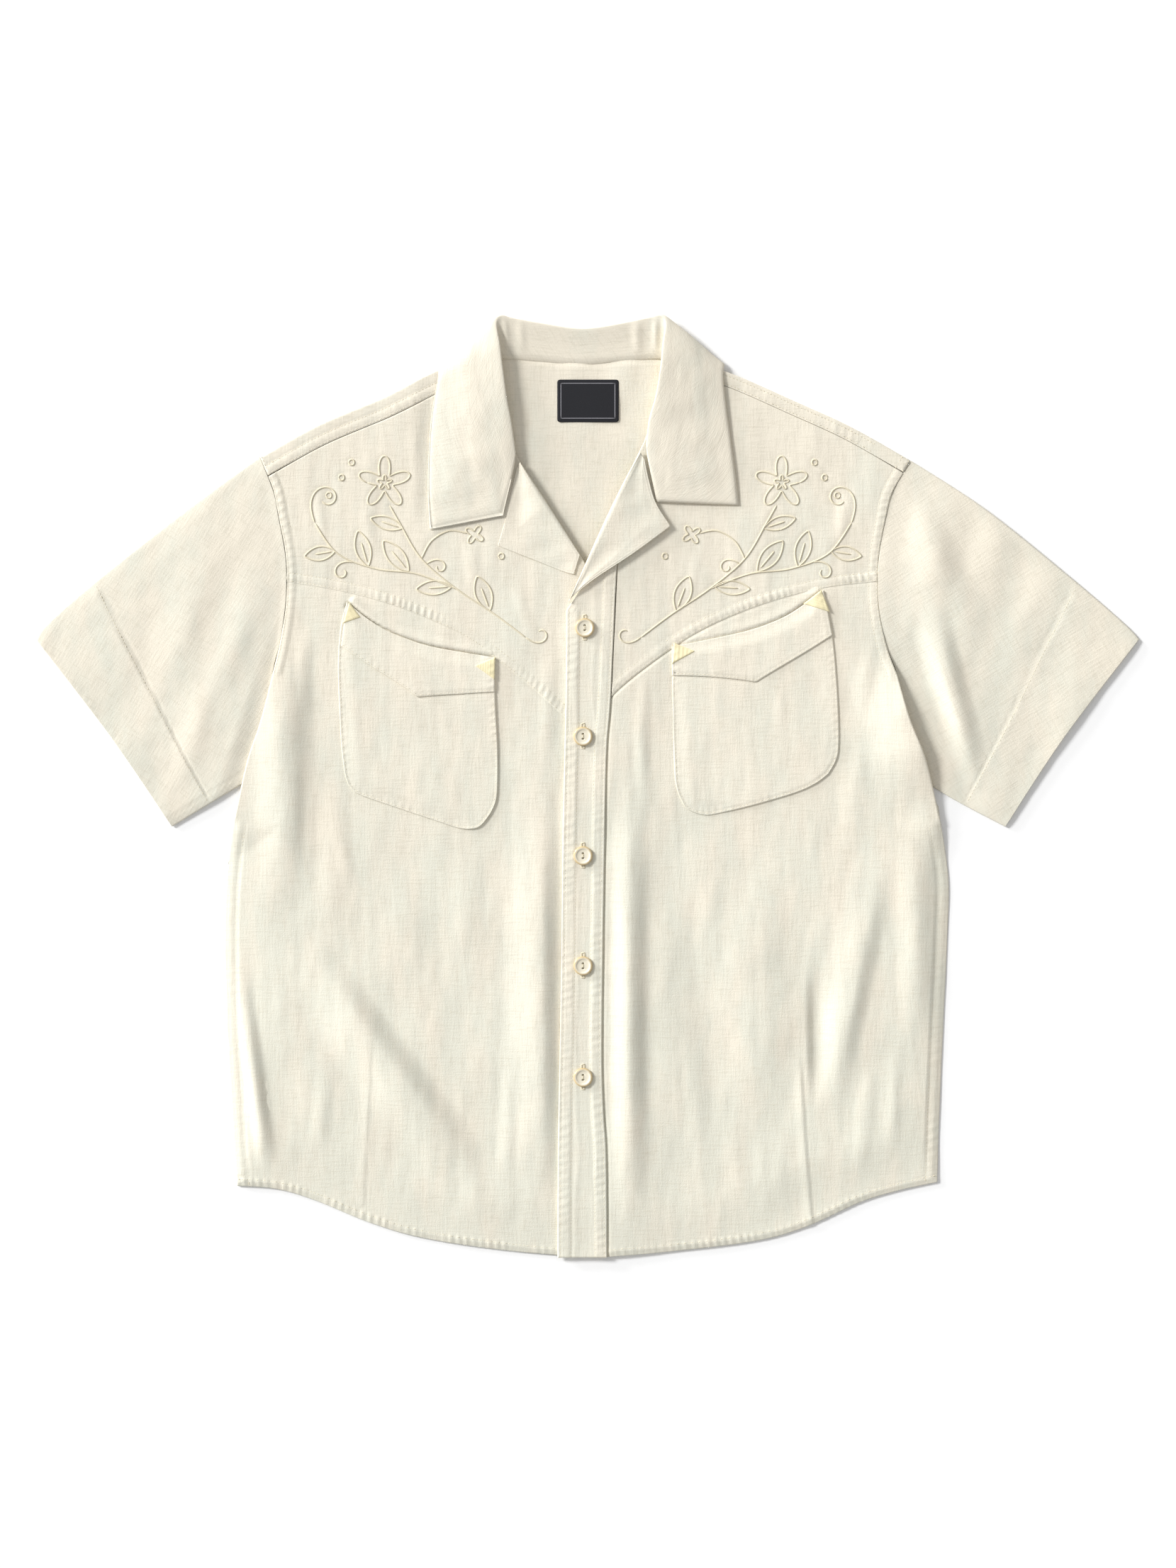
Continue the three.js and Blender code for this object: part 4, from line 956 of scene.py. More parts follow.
print("sewn lines:", len(SEAMS), "with", sum(len(row.stitches) for row in SEAMS), "rows of stitches")

# %% [markdown]
# ## Finishing a piece
# Every sewn piece stands for its solid in the frame, whose own mesh is hidden, and rides on the shirt's one
# body. A helper does this, so that no piece misses a step, and keeps the height of its surface for the
# stitches that lie on it later.

# %% Registering pieces
CUTS = {
    "back": ((0.585, 0.745), 0.372, ["floor_board"]),
    "front_right": ((0.300, 0.535), 0.125, ["back"]),
    "front_left": ((0.272, 0.530), 0.114, ["back"]),
    "yoke_right": ((0.262, 0.300), 0.039, ["back"]),
    "yoke_left": ((0.234, 0.262), 0.035, ["back"]),
    "sleeve_right": ((0.460, 0.250), 0.083, ["floor_board"]),
    "sleeve_left": ((0.465, 0.255), 0.085, ["floor_board"]),
    "collar": ((0.560, 0.105), 0.043, ["yoke_right_cloth", "yoke_left_cloth"]),
    "lapel_right": ((0.092, 0.050), 0.0022, ["yoke_right_cloth"]),
    "lapel_left": ((0.125, 0.050), 0.0026, ["yoke_left_cloth", "placket_cloth"]),
    "placket": ((0.040, 0.578), 0.0196, ["front_right_cloth"]),
    "pocket_right": ((0.127, 0.179), 0.0165, ["front_right_cloth"]),
    "pocket_left": ((0.133, 0.179), 0.0170, ["front_left_cloth"]),
    "pocket_band_right": ((0.122, 0.058), 0.0043, ["pocket_right_cloth"]),
    "pocket_band_left": ((0.128, 0.058), 0.0045, ["pocket_left_cloth"]),
}
SURFACE = {}


def declare(piece, node=None):
    """Says which solid a piece stands for by hiding it, and that the piece rides on the shirt's one body."""
    if node is not None:
        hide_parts(node)
    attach(piece, "root")


def finish_cloth(piece, node, surface=None):
    """Lets a sheet of cloth stand for its solid, and keeps the height function of its upper face."""
    declare(piece, node)
    if surface is not None:
        SURFACE[node] = surface
    triangles = sum(len(p.vertices) - 2 for p in piece.data.polygons)
    print(f"{piece.name}: {triangles} triangles")


def summed(grid, axis):
    """Length run along a grid's rows (axis 1) or up its columns (axis 0), at each point."""
    pad = [(1, 0), (0, 0)] if axis == 0 else [(0, 0), (1, 0)]
    return np.cumsum(np.pad(np.linalg.norm(np.diff(grid, axis=axis), axis=2), pad), axis=axis)


def border_distance(grid):
    """Distance of each grid point to the nearest border, summed along its row and its column."""
    across, up = summed(grid, 1), summed(grid, 0)
    across = np.minimum(across, across[:, -1:] - across)
    return np.minimum(across, np.minimum(up, up[-1:] - up))


def rolled(distance, radius):
    """How far a folded rim falls: a quarter circle of the given radius at the border."""
    near_rim = np.clip(distance, 0, radius)
    return radius - np.sqrt(np.maximum(radius**2 - (radius - near_rim) ** 2, 0))


RIM = 0.55


def laid(node, plan, top_of, underside, radius=RIM, free=None):
    """The cloth of a node from its plan grid, with rolled rims.

    top_of gives the height of the upper face and underside that of the lower one. free gives how far the top
    falls at rims that lie open on the floor, where two cloths press flat.
    """
    x, y = plan[..., 0], plan[..., 1]
    top = top_of(x, y)
    if free is not None:
        top = top - free(x, y)
    low = np.minimum(underside(x, y), top - 0.35)
    fall = np.minimum(rolled(border_distance(plan), radius), top - low - 0.15)
    piece = shell(f"{node}_cloth", np.stack([x, y, top - fall], 2), np.stack([x, y, low], 2), CREPE)
    finish_cloth(piece, node, top_of)


# %% [markdown]
# ## Fronts
# Each front is a panel between the hem, the side, the yoke seam and the placket. Its top edge runs on under
# the lapped yoke, and its inner edge under the placket. The top edge dips there, and so does the inner edge
# of the wearer's left front, so that the upper layer's edge throws a fine shadow. That dark line is what the
# eye reads as a seam. A dart takes in width below the waist, and shows as a short crease with a raised fold
# beside it.

# %% Front panels
LAP = 4.0
INNER_EDGE_X = 12
# How deep a front dips under the yoke's edge: at the placket's end of the seam, and at the armhole's end.
DIP = {"right": (0.35, 0.2), "left": (0.95, 0.25)}
DART_HEIGHT = {"right": 0.3, "left": 0.65}
# How open a pocket's mouth stands, at its end nearer the wearer's right and at its other end.
SLOT = {"right": (1.5, 0.7), "left": (0.25, 0.6)}
LIP = 1.1


def dart_height(side, x, y):
    """A dart: a sharp valley on its line and a low step beside it, both fading in from its point."""
    distance, length = near(spline(DART[side]), x, y, 16)
    fade = smooth(0, 26, length) * (distance < FOUND)
    size = DART_HEIGHT[side]
    valley = -0.6 * size * np.exp(-((distance / 0.9) ** 2))
    ridge = size * smooth(0.9, -0.7, distance) * smooth(-10, -1, distance)
    return (valley + ridge) * (0.35 + 0.65 * fade) * smooth(-1, 3, length)


def mouth_slot(side, x, y):
    """The open pocket mouth: the front swells towards it, then falls away under the band within a few mm."""
    distance, length = near(MOUTH_PATH[side], x, y, 12)
    first, last = SLOT[side]
    total = steps_of(MOUTH_PATH[side]).sum()
    height = (first + (last - first) * smooth(0, 1, length / total)) * (distance < FOUND)
    inside = smooth(0, 3, length) * smooth(total, total - 3, length)
    fall = 1.9 * smooth(2.0, 0.6, distance) * smooth(-5, -2.5, distance)
    return height * inside * (LIP * smooth(10, 2.2, distance) * (distance > 0) - fall)


def front_top(side):
    """Upper face of a front as a function of x and y."""
    def height(x, y):
        """The front's level with its waves and sewing, less the two dips."""
        past_seam = near(YOKE_PATH[side], x, y, 12)[0]
        inner_dip, outer_dip = DIP[side]
        dip = outer_dip + (inner_dip - outer_dip) * smooth(150, 50, np.abs(x))
        under_yoke = dip * smooth(-2.2, 0.6, past_seam) * (past_seam < FOUND)
        beside = near(PLACKET_PATH["left"], x, y, 12)[0]
        under_placket = 1.5 * smooth(-2.6, 0.4, beside) * (beside < FOUND) * (side == "left")
        level = front_level(side, x, y) + WALL + softness(x, y)
        details = sewn(f"front_{side}", x, y) + dart_height(side, x, y) + mouth_slot(side, x, y)
        return level + details - under_yoke - under_placket
    return height


def front_plan(side):
    """Plan grid of a front, columns to +X and rows to +Y, with laps at the yoke seam and the placket."""
    hem_points = list(HEM[side])
    seam_line = along(moved_left(spline(YOKE_SEAM[side]), LAP * INWARD[side]), np.linspace(0, 1, 120))
    seam_start, seam_end = tuple(seam_line[0]), tuple(seam_line[-1])
    if side == "right":
        hem_points[-1] = (INNER_EDGE_X, -372)
        inner_line = [hem_points[-1], seam_end]
    else:
        hem_points[-1] = (PLACKET["left"][0][0] - LAP, -371.4)
        side_line = [(x - LAP, y) for x, y in PLACKET["left"][1:] if y < YOKE_SEAM["left"][-1][1]]
        inner_line = [hem_points[-1], *side_line, seam_end]
    armhole = [(x + ARMHOLE_GAP * INWARD[side], y) for x, y in ARMHOLE[side][BODY_EDGE:YOKE_JOIN + 1]]
    over_sleeve = SIDE_OVER_SLEEVE[side][:-1] + [armhole[0]]
    outer = edge((SIDE[side], 12), (over_sleeve, 4), (armhole + [seam_start], 3))
    across, up = lines(290, 1.45), lines(500, 1.4, 2.6, border=44)
    return panel(side, whole(hem_points), sampled(seam_line), outer, whole(inner_line), across, up)


def open_rim(side):
    """How far a front's rim falls where it meets the back at the hem and at the side seam."""
    def fall(x, y):
        """The larger of the two falls."""
        low = 0
        for path in (HEM_PATH[side], SIDE_PATH[side]):
            distance = near(path, x, y, 10)[0]
            low = np.maximum(low, 1.1 * smooth(5, 0, distance) * (distance < FOUND))
        return low
    return fall


for side in SIDES:
    laid(f"front_{side}", front_plan(side), front_top(side), above_front(side, 0), free=open_rim(side))

# %% [markdown]
# ## Embroidery motif
# Both yokes carry a flower spray in raised cord of the cloth's own colour. The cord is sewn along a drawn
# line, so the motif is a list of lines. A few formulas make them all: a stem is a smooth curve, a leaf is
# two arcs, a blossom is a circle whose radius swings five times, and a tendril curls tighter at a steady
# rate. The spray is drawn once, for the wearer's left yoke, and mirrored across the placket for the right
# one.

# %% Lines of the motif
def blossom(centre, radius, petals, turn):
    """Closed line r = R (0.66 + 0.34 cos(n (a - turn))), once round the centre."""
    a = np.linspace(0, 2 * math.pi, 34 * petals + 1)
    r = radius * (0.66 + 0.34 * np.cos(petals * (a - turn)))
    return np.asarray(centre, float) + r[:, None] * np.stack([np.cos(a), np.sin(a)], 1)


def leaf_line(base, tip, width):
    """Closed line out along one arc and back along the other: its half width is w sin(pi t) ** 0.8."""
    base, tip = np.asarray(base, float), np.asarray(tip, float)
    ahead = tip - base
    aside = np.array([-ahead[1], ahead[0]]) / np.linalg.norm(ahead)
    t = np.linspace(0, 1, 40)
    bow = width * np.sin(math.pi * t) ** 0.8
    out = base + t[:, None] * ahead + bow[:, None] * aside
    back = base + t[::-1, None] * ahead - bow[::-1, None] * aside
    return np.concatenate([out, back[1:]])


def tendril(start, heading, length, turns):
    """A line whose heading grows with the square of the length run, so that it curls up at a steady rate."""
    s = np.linspace(0, 1, 90)
    angle = math.radians(heading) + turns * 2 * math.pi * s**2
    steps = np.stack([np.cos(angle), np.sin(angle)], 1) * length / 90
    return np.asarray(start, float) + np.cumsum(steps, axis=0)


def vein(base, tip):
    """Short straight line inside a leaf, up to two thirds of its length."""
    base, tip = np.asarray(base, float), np.asarray(tip, float)
    return base + np.linspace(0.12, 0.66, 16)[:, None] * (tip - base)


STEMS = [
    [(42, 118), (66, 136), (96, 156), (124, 180), (141, 208), (149, 222)],
    [(96, 156), (128, 168), (160, 172), (190, 184), (208, 208)],
    [(124, 180), (116, 194), (102, 202), (88, 200)],
]
# Base, tip and width of each leaf.
LEAVES = [
    ((70, 139), (80, 166), 6.5), ((100, 158), (128, 156), 5.5), ((134, 170), (154, 194), 6.5),
    ((166, 174), (174, 202), 6.0), ((192, 186), (216, 182), 5.5), ((139, 204), (164, 212), 5.0),
]
# Centre, radius, petals and turn of each blossom.
BLOSSOMS = [((153, 240), 21, 5, math.pi / 2), ((153, 240), 6, 5, math.pi / 2), ((82, 199), 8, 4, 0.6)]
# Start, heading in degrees, length and turns of each tendril.
TENDRILS = [
    ((208, 208), 72, 62, 0.95), ((42, 118), 215, 30, -0.7), ((176, 177), 8, 36, -0.9),
    ((120, 176), 150, 30, 0.9),
]
BUD = 3.2
BUDS = [(186, 244), (178, 256), (196, 230), (60, 182)]


def motif_lines():
    """All lines of the spray, for the wearer's left yoke."""
    lines_drawn = [spline(points) for points in STEMS]
    lines_drawn += [leaf_line(*row) for row in LEAVES]
    lines_drawn += [vein(base, tip) for base, tip, _ in LEAVES]
    lines_drawn += [blossom(*row) for row in BLOSSOMS]
    lines_drawn += [tendril(*row) for row in TENDRILS]
    lines_drawn += [blossom(centre, BUD, 1, 0) for centre in BUDS]
    return lines_drawn


PLACKET_CENTRE = -3.6
LEFT_LINES = motif_lines()
RIGHT_LINES = [np.array([2 * PLACKET_CENTRE, 0]) + line * (-1, 1) for line in LEFT_LINES]
MOTIF = {"left": LEFT_LINES, "right": RIGHT_LINES}
print("lines of cord on each yoke:", len(LEFT_LINES))

# %% [markdown]
# ## Yokes
# The western yoke is lapped over the front: its lower edge is turned under and stitched down twice, and the
# cloth between the two rows puckers. Its upper edge meets the back's forward shoulder seam.

# %% Yoke panels
YOKE_GAP = 0.45


def yoke_top(side):
    """Upper face of a yoke as a function of x and y."""
    def height(x, y):
        """Level, waves, sewing and the pull of the cords."""
        level = front_level(side, x, y) + WALL + softness(x, y)
        return level + sewn(f"yoke_{side}", x, y) + cord_quilting(side, x, y)
    return height


def yoke_plan(side):
    """Plan grid of a yoke between its seam, the armhole, the shoulder seam, the front edge and its roll.

    The upper end of the armhole is moved along the shoulder seam until it lies on the armhole's own curve.
    """
    seam_line = spline(YOKE_SEAM[side])
    gap = ARMHOLE_GAP * INWARD[side]
    armhole = [(x + gap, y) for x, y in ARMHOLE[side][YOKE_JOIN + 1:BELOW_SHOULDER + 1]]
    top_line = moved_left(spline(SHOULDER[side]), -INWARD[side] * (FORWARD_SEAM[side] + ARMHOLE_GAP))
    corner = closest(spline(ARMHOLE[side]) + (gap, 0), top_line[0])
    top_line = top_line + (corner - top_line[0]) * smooth(0.14, 0, np.linspace(0, 1, len(top_line)))[:, None]
    outer = whole([tuple(seam_line[0])] + armhole + [tuple(corner)])
    inner = edge((FRONT_EDGE[side], 4), (ROLL[side][:-1] + [tuple(top_line[-1])], 6))
    return panel(side, sampled(seam_line), sampled(top_line), outer, inner, lines(262, 1.4), lines(170, 1.4))


def cord_quilting(side, x, y):
    """The pull of the embroidery: the cloth sinks under and beside each cord."""
    height = np.zeros(np.broadcast(x, y).shape)
    for cord in MOTIF[side]:
        distance = near(cord, x, y, 9)[0]
        height = np.minimum(height, groove(distance, 0, 0.28, 2.0))
    return height


for side in SIDES:
    laid(f"yoke_{side}", yoke_plan(side), yoke_top(side), above_front(side, YOKE_GAP))

# %% [markdown]
# ## Back
# The back lies below everything and wraps over both shoulders, where it ends at the forward shoulder seams.
# It is one grid: flat rows from the hem to the shoulder fold, then rows that roll round half a turn, then a
# flap. Between the shoulders the grid stops at the neck, which a mask of cells leaves out.

# %% Back panel
BACK = {"shoulder": 90, "neck": 36, "side": 36, "under_sleeve": 4, "armhole": 40, "roll": 12, "flap": 12}


def shoulder_line(side):
    """The shoulder fold as a function of 0..1, and its outward direction."""
    line = whole(SHOULDER[side])

    def outward(t):
        """Unit normal of the fold, away from the body."""
        ahead = line(np.minimum(1, t + 0.02)) - line(np.maximum(0, t - 0.02))
        ahead = ahead / np.linalg.norm(ahead, axis=-1, keepdims=True)
        return np.stack([-ahead[..., 1], ahead[..., 0]], -1) * INWARD[side]
    return line, outward


def flap_sewing(x, y):
    """Two rows of stitches along the forward shoulder seam, with puckers between them."""
    height = np.zeros(x.shape)
    for k, side in enumerate(SIDES):
        distance, length = near(FORWARD[side], x, y, 20)
        ribs = pucker(distance, length, 1.5, 7.5, 6.0, 0.5, 110 + k)
        height = height + ribs + groove(distance, 1.6, 0.3) + groove(distance, 8.0, 0.3)
    return height


def shoulder_level(places):
    """Level of the front's upper face, which the flap over the shoulder meets."""
    return front_level("right", places[..., 0], places[..., 1]) + WALL


def shoulder_radius(places):
    """Radius of the roll over the shoulder: half the height between the back and the flap's upper face."""
    return (shoulder_level(places) - back_level(places[..., 0], places[..., 1])) / 2


def back_grids():
    """Inside and outside grids of the back, and the mask of the cells that are cloth."""
    columns = 2 * BACK["shoulder"] + BACK["neck"]
    flat_rows = BACK["side"] + BACK["under_sleeve"] + BACK["armhole"]
    us = np.linspace(0, 1, columns + 1)
    vs = np.linspace(0, 1, flat_rows + 1)
    shoulder = {side: shoulder_line(side) for side in SIDES}
    neck = whole(BACK_NECK)

    def on_shoulder(side, t):
        """Where the roll starts: a radius inside the shoulder fold."""
        line, outward = shoulder[side]
        place = line(t)
        return place - outward(t) * shoulder_radius(place)[..., None]

    def top(u):
        """Upper border of the flat part: right shoulder, neck and left shoulder."""
        column = np.asarray(u) * columns
        right = on_shoulder("right", np.clip(column / BACK["shoulder"], 0, 1))
        left = on_shoulder("left", np.clip((columns - column) / BACK["shoulder"], 0, 1))
        middle = neck(np.clip((column - BACK["shoulder"]) / BACK["neck"], 0, 1))
        on_right = (column <= BACK["shoulder"])[..., None]
        on_left = (column >= BACK["shoulder"] + BACK["neck"])[..., None]
        return np.where(on_right, right, np.where(on_left, left, middle))

    def side_edge(side):
        """Side border of the flat part: side seam, underarm and armhole, a little inside the sleeve."""
        end = tuple(top(np.array(0.0 if side == "right" else 1.0)))
        clear = [(x + 3 * ARMHOLE_GAP * INWARD[side], y) for x, y in ARMHOLE[side][1:-1]]
        under = SIDE_UNDER_SLEEVE[side]
        armhole = [under[-1], *clear, end]
        return edge((SIDE[side], BACK["side"]), (under, BACK["under_sleeve"]), (armhole, BACK["armhole"]))

    hem = edge((HEM["right"], 1), (HEM["left"][::-1], 1))
    plan = patch(hem, top, side_edge("right"), side_edge("left"), us, vs)
    x, y = plan[..., 0], plan[..., 1]
    level = back_level(x, y)
    calm = 0.35 * smooth(180, 260, y) * smooth(90, 60, np.abs(x)) * waves(x, y, 60, 30, 1.0, 9, 8)
    thin = 0.75 * smooth(6, 0, border_distance(plan)) * smooth(60, 20, y)
    inside = [np.stack([x, y, level + WALL + np.clip(calm, -0.2, 0.6) - thin], 2)]
    outside = [np.stack([x, y, level], 2)]
    start = np.stack([x[-1], y[-1]], -1)
    column = np.arange(columns + 1)
    is_right = column <= columns / 2
    shares = np.minimum(1, np.where(is_right, column, columns - column) / BACK["shoulder"])
    outward = np.where(is_right[:, None], shoulder["right"][1](shares), shoulder["left"][1](shares))
    radius = shoulder_radius(start)
    reach = np.where(is_right, FORWARD_SEAM["right"], FORWARD_SEAM["left"]) - radius - ARMHOLE_GAP
    middle = shoulder_level(start) - radius

    def to_armhole(x, y):
        """Shift that brings both ends of a flap row onto the armhole seams, and fades out inwards."""
        shift = np.zeros((len(x), 2))
        for side, end, own in (("right", 0, is_right), ("left", -1, ~is_right)):
            here = np.array([x[end], y[end]])
            gap = closest(spline(ARMHOLE[side]) + (ARMHOLE_GAP * INWARD[side], 0), here) - here
            shift = shift + gap * (smooth(0.14, 0, shares) * own)[:, None]
        return shift

    for step in range(1, BACK["roll"] + BACK["flap"] + 1):
        turn = math.pi * min(1, step / BACK["roll"])
        flap = max(0, step - BACK["roll"]) / BACK["flap"]
        rows = []
        for r in (radius - WALL, radius):
            out = math.sin(turn) * r - flap * reach
            x, y = start[:, 0] + outward[:, 0] * out, start[:, 1] + outward[:, 1] * out
            shift = to_armhole(x, y) * (1 - math.cos(turn)) / 2
            x, y = x + shift[:, 0], y + shift[:, 1]
            soft = (1 - math.cos(turn)) / 2 * (softness(x, y) + flap_sewing(x, y))
            rows.append(np.stack([x, y, middle - math.cos(turn) * r + soft], 1))
        inside.append(rows[0][None])
        outside.append(rows[1][None])
    cells = np.ones((flat_rows + BACK["roll"] + BACK["flap"], columns), bool)
    cells[flat_rows:, BACK["shoulder"]:BACK["shoulder"] + BACK["neck"]] = False
    return np.concatenate(inside), np.concatenate(outside), cells


inside, outside, cells = back_grids()
back = wall("back_cloth", inside, outside, CREPE, keep=cells)
finish_cloth(back, "back")
BACK_TOP = outside

# %% [markdown]
# ## Sleeves
# A short sleeve laid flat is a tube pressed almost shut: the shoulder side and the underarm side are folds,
# and the hem end is an open mouth with a deep turned hem. It is worked out as a ring of points that is
# carried from the armhole to the hem. The upper layer is fine and has the folds, and the hidden lower one
# is coarser.

# %% Sleeves
SLEEVE_HEIGHT = 5.4
# Height left to a sleeve where the body lies over it.
UNDER_BODY = {"right": 2.9, "left": 2.0}
SLEEVE_ROWS = 240
# Slope of a sleeve's grain against the body's.
SLEEVE_SLOPE = 0.62
# Step up onto the turned hem, and how deep its stitch line is sunk.
HEM_LINE = {"right": (0.6, 0.8), "left": (0.35, 0.5)}


def sleeve_height(x, y, run):
    """Height of a flattened sleeve: the front's level at the armhole, and low where the body lies over it."""
    beyond = np.abs(x) - 248 - 0.33 * (90 - y)
    reach = np.where(x > 0, 3, -14)
    under_body = smooth(30 + reach, 12 + reach, beyond) * smooth(138, 84, y)
    at_seam = smooth(0.25, 0, run)
    free = SLEEVE_HEIGHT + folds_height(SLEEVE_FOLDS, x, y) * smooth(0.0, 0.14, run) * smooth(1, 0.8, run)
    free = free * (1 - 0.48 * smooth(0.15, 1, run))
    seamed = free + (WALL + SEAM + LOFT + WALL - free) * at_seam
    return seamed + (np.where(x > 0, UNDER_BODY["left"], UNDER_BODY["right"]) - seamed) * under_body


def sleeve_detail(side, x, y):
    """Seams of a sleeve's upper layer: the turned hem's step, the underarm and the rim, with soft waves."""
    cuff, cuff_run = near(spline(CUFF[side]), x, y, 70)
    out = cuff * -INWARD[side]
    there = cuff < FOUND
    step, sunk = HEM_LINE[side]
    hem_step = step * smooth(-0.8, 0.8, out) * there
    line = groove(out, 0, sunk, 0.8) * there
    ribs = pucker(out, cuff_run, 0.5, 4.5, 6.5, 0.15, 101) * there
    below, below_run = near(spline(SLEEVE_UNDER[side]), x, y, 20)
    depth = np.abs(below)
    felled = groove(depth, 7.2, 0.3, 0.8) + pucker(depth, below_run, 1.0, 7.0, 6.5, 0.14, 103)
    to_end, end_run = near(spline(SLEEVE_HEM[side]), x, y, 20)
    rim = pucker(np.abs(to_end), end_run, 0.5, 5.0, 7.5, 0.12, 105)
    return hem_step + line + ribs + felled * (depth < FOUND) + rim + wave_groups(SLEEVE_WAVES, x, y)


def make_sleeve(side):
    """Rings of points from the armhole to the hem: down the upper layer from the top fold, and back below."""
    armhole = [(x - ARMHOLE_GAP * INWARD[side], y) for x, y in ARMHOLE[side]]
    top_line = [armhole[-1]] + SLEEVE_TOP[side][1:]
    under_line = [armhole[0]] + SLEEVE_UNDER[side][1:]
    first, last = whole(armhole), reverse(whole(SLEEVE_HEM[side]))
    across_up = lines(240, 2.0, 2.6, border=20, multiple=2)
    across_down = lines(240, 4.0, 8.0, border=20, multiple=2)
    ring = np.concatenate([across_up[::-1][:-1], across_down[:-1]])
    is_top = np.arange(len(ring)) < len(across_up) - 1
    stations = lines(190, 1.5, 2.2, border=20, multiple=2)
    levels = np.linspace(0, 1, SLEEVE_ROWS + 1)
    plan = patch(whole(under_line), whole(top_line), first, last, stations, levels)
    rows = ring * SLEEVE_ROWS
    low = np.floor(rows).astype(int).clip(0, SLEEVE_ROWS - 1)
    part = (rows - low)[:, None, None]
    grid = (plan[low] * (1 - part) + plan[low + 1] * part).transpose(1, 0, 2)
    x, y = grid[..., 0], grid[..., 1]
    run = np.broadcast_to(stations[:, None], x.shape)
    half = sleeve_height(x, y, run) / 2
    share = np.broadcast_to(ring[None], x.shape)
    bulge = np.minimum(1, 1.08 * (2 * np.sqrt(np.clip(share * (1 - share), 0, 1))) ** 0.4)
    sign_z = np.where(is_top, 1.0, -1.0)[None]
    sign_z = np.where((share < 1e-6) | (share > 1 - 1e-6), 0.0, sign_z)
    flat = smooth(0, 0.05, share) * smooth(0, 0.05, 1 - share) * np.where(is_top, 1.0, 0.0)[None]
    detail = sleeve_detail(side, x, y) * flat
    tuck = smooth(0.03, 0.0, run) * (0.15 if side == "left" else -0.3)
    outer = np.stack([x, y, half + sign_z * bulge * half + detail - tuck * flat], 2)
    inset = WALL * 0.6
    inner_bulge = sign_z * bulge * np.maximum(half - inset, 0.05)
    inner = np.stack([x, y, half + inner_bulge + detail * 0.8 - tuck * flat], 2)
    toward = (share - 0.5) * 2
    width = np.linalg.norm(plan[-1] - plan[0], axis=-1)[:, None]
    pull = inset * np.abs(toward) ** 40 * np.sign(toward) / width
    shift = pull[..., None] * (plan[-1] - plan[0])[:, None, :]
    inner[..., :2] -= shift
    if side == "right":
        outer, inner = outer[:, ::-1], inner[:, ::-1]
    angle = math.atan2(-SLEEVE_SLOPE * INWARD[side], 1)
    turn = np.array([[math.cos(angle), -math.sin(angle)], [math.sin(angle), math.cos(angle)]])
    piece = wall(f"sleeve_{side}_cloth", outer, inner, CREPE, around=True, cut=outer[..., :2] @ turn)
    finish_cloth(piece, f"sleeve_{side}")
    return outer[:, ::-1][:, is_top] if side == "right" else outer[:, is_top]


SLEEVE_TOPS = {side: make_sleeve(side) for side in SIDES}

# %% [markdown]
# ## Collar
# The camp collar has no separate stand: one folded strip runs up from the neck seam, rolls over and falls
# as the leaf. Nineteen cuts through it hold its shape, each a smooth curve, and smooth curves along the
# neck join them. The wall gets its thickness half to each side along the surface's own normal, so the roll
# stays round.

# %% Collar
COLLAR_CELLS = (8, 14, 20, 20)
COLLAR_CELLS_ALONG = 15
CORNER = 3
SEAM_DROP = 1.35


def across_section(points, is_end):
    """Curve across the collar, with its own number of cells in each stretch. Its ends have square corners."""
    if is_end:
        straight = np.linspace(points[CORNER], points[CORNER + 1], 41)[1:]
        curve = np.concatenate([spline(points[:CORNER + 1], 0.5), straight])
    else:
        curve = spline(points, 0.5)
    stretches = [k + np.arange(n) / n for k, n in enumerate(COLLAR_CELLS)]
    places = np.concatenate(stretches + [[len(COLLAR_CELLS)]])
    return np.stack([np.interp(places * 40, np.arange(len(curve)), column) for column in curve.T], 1)


def collar_middle():
    """Middle surface of the collar: curves across, then smooth curves along through their points."""
    last = len(COLLAR) - 1
    rows = np.stack([across_section(points, k in (0, last)) for k, points in enumerate(COLLAR)])
    return spline(rows, 0.5, COLLAR_CELLS_ALONG).transpose(1, 0, 2)


def thickened(middle, thickness):
    """Two faces half a thickness away along the normal, which is the cross product of two tangents."""
    normal = np.cross(np.gradient(middle, axis=1), np.gradient(middle, axis=0))
    normal = normal / np.maximum(np.linalg.norm(normal, axis=2, keepdims=True), 1e-9)
    rim = np.clip(border_distance(middle) / 0.6, 0.25, 1)[..., None]
    upper = middle + normal * thickness / 2 * rim
    lower = middle - normal * thickness / 2 * rim
    for face in (upper, lower):
        face[..., 2] = np.maximum(face[..., 2], 0.02)
    return upper, lower, normal


# Upright folds at the two ends of the stand, where it turns forward.
STAND_FOLDS = [
    ((-67, 376), (-61, 336), 4.0, 0.8, 1.0),
    ((-54, 376), (-51, 336), 5.0, 0.6, 1.0),
    ((38, 376), (40, 336), 6.0, 0.9, 1.0),
    ((54, 376), (53, 338), 4.4, 0.9, 1.0),
]
middle = collar_middle()
plan_x, plan_y = middle[..., 0], middle[..., 1]
soft = wave_groups(COLLAR_WAVES, plan_x, plan_y)
share_up = np.linspace(0, 1, middle.shape[0])[:, None]
leaf, on_stand = smooth(0.35, 0.6, share_up), smooth(0.42, 0.2, share_up)
upper, lower, normal = thickened(middle, WALL)
to_border = border_distance(middle)
lift = (soft * leaf * np.clip(to_border / 12, 0, 1))[..., None] * normal
lift = lift + (folds_height(STAND_FOLDS, plan_x, plan_y) * on_stand)[..., None] * normal
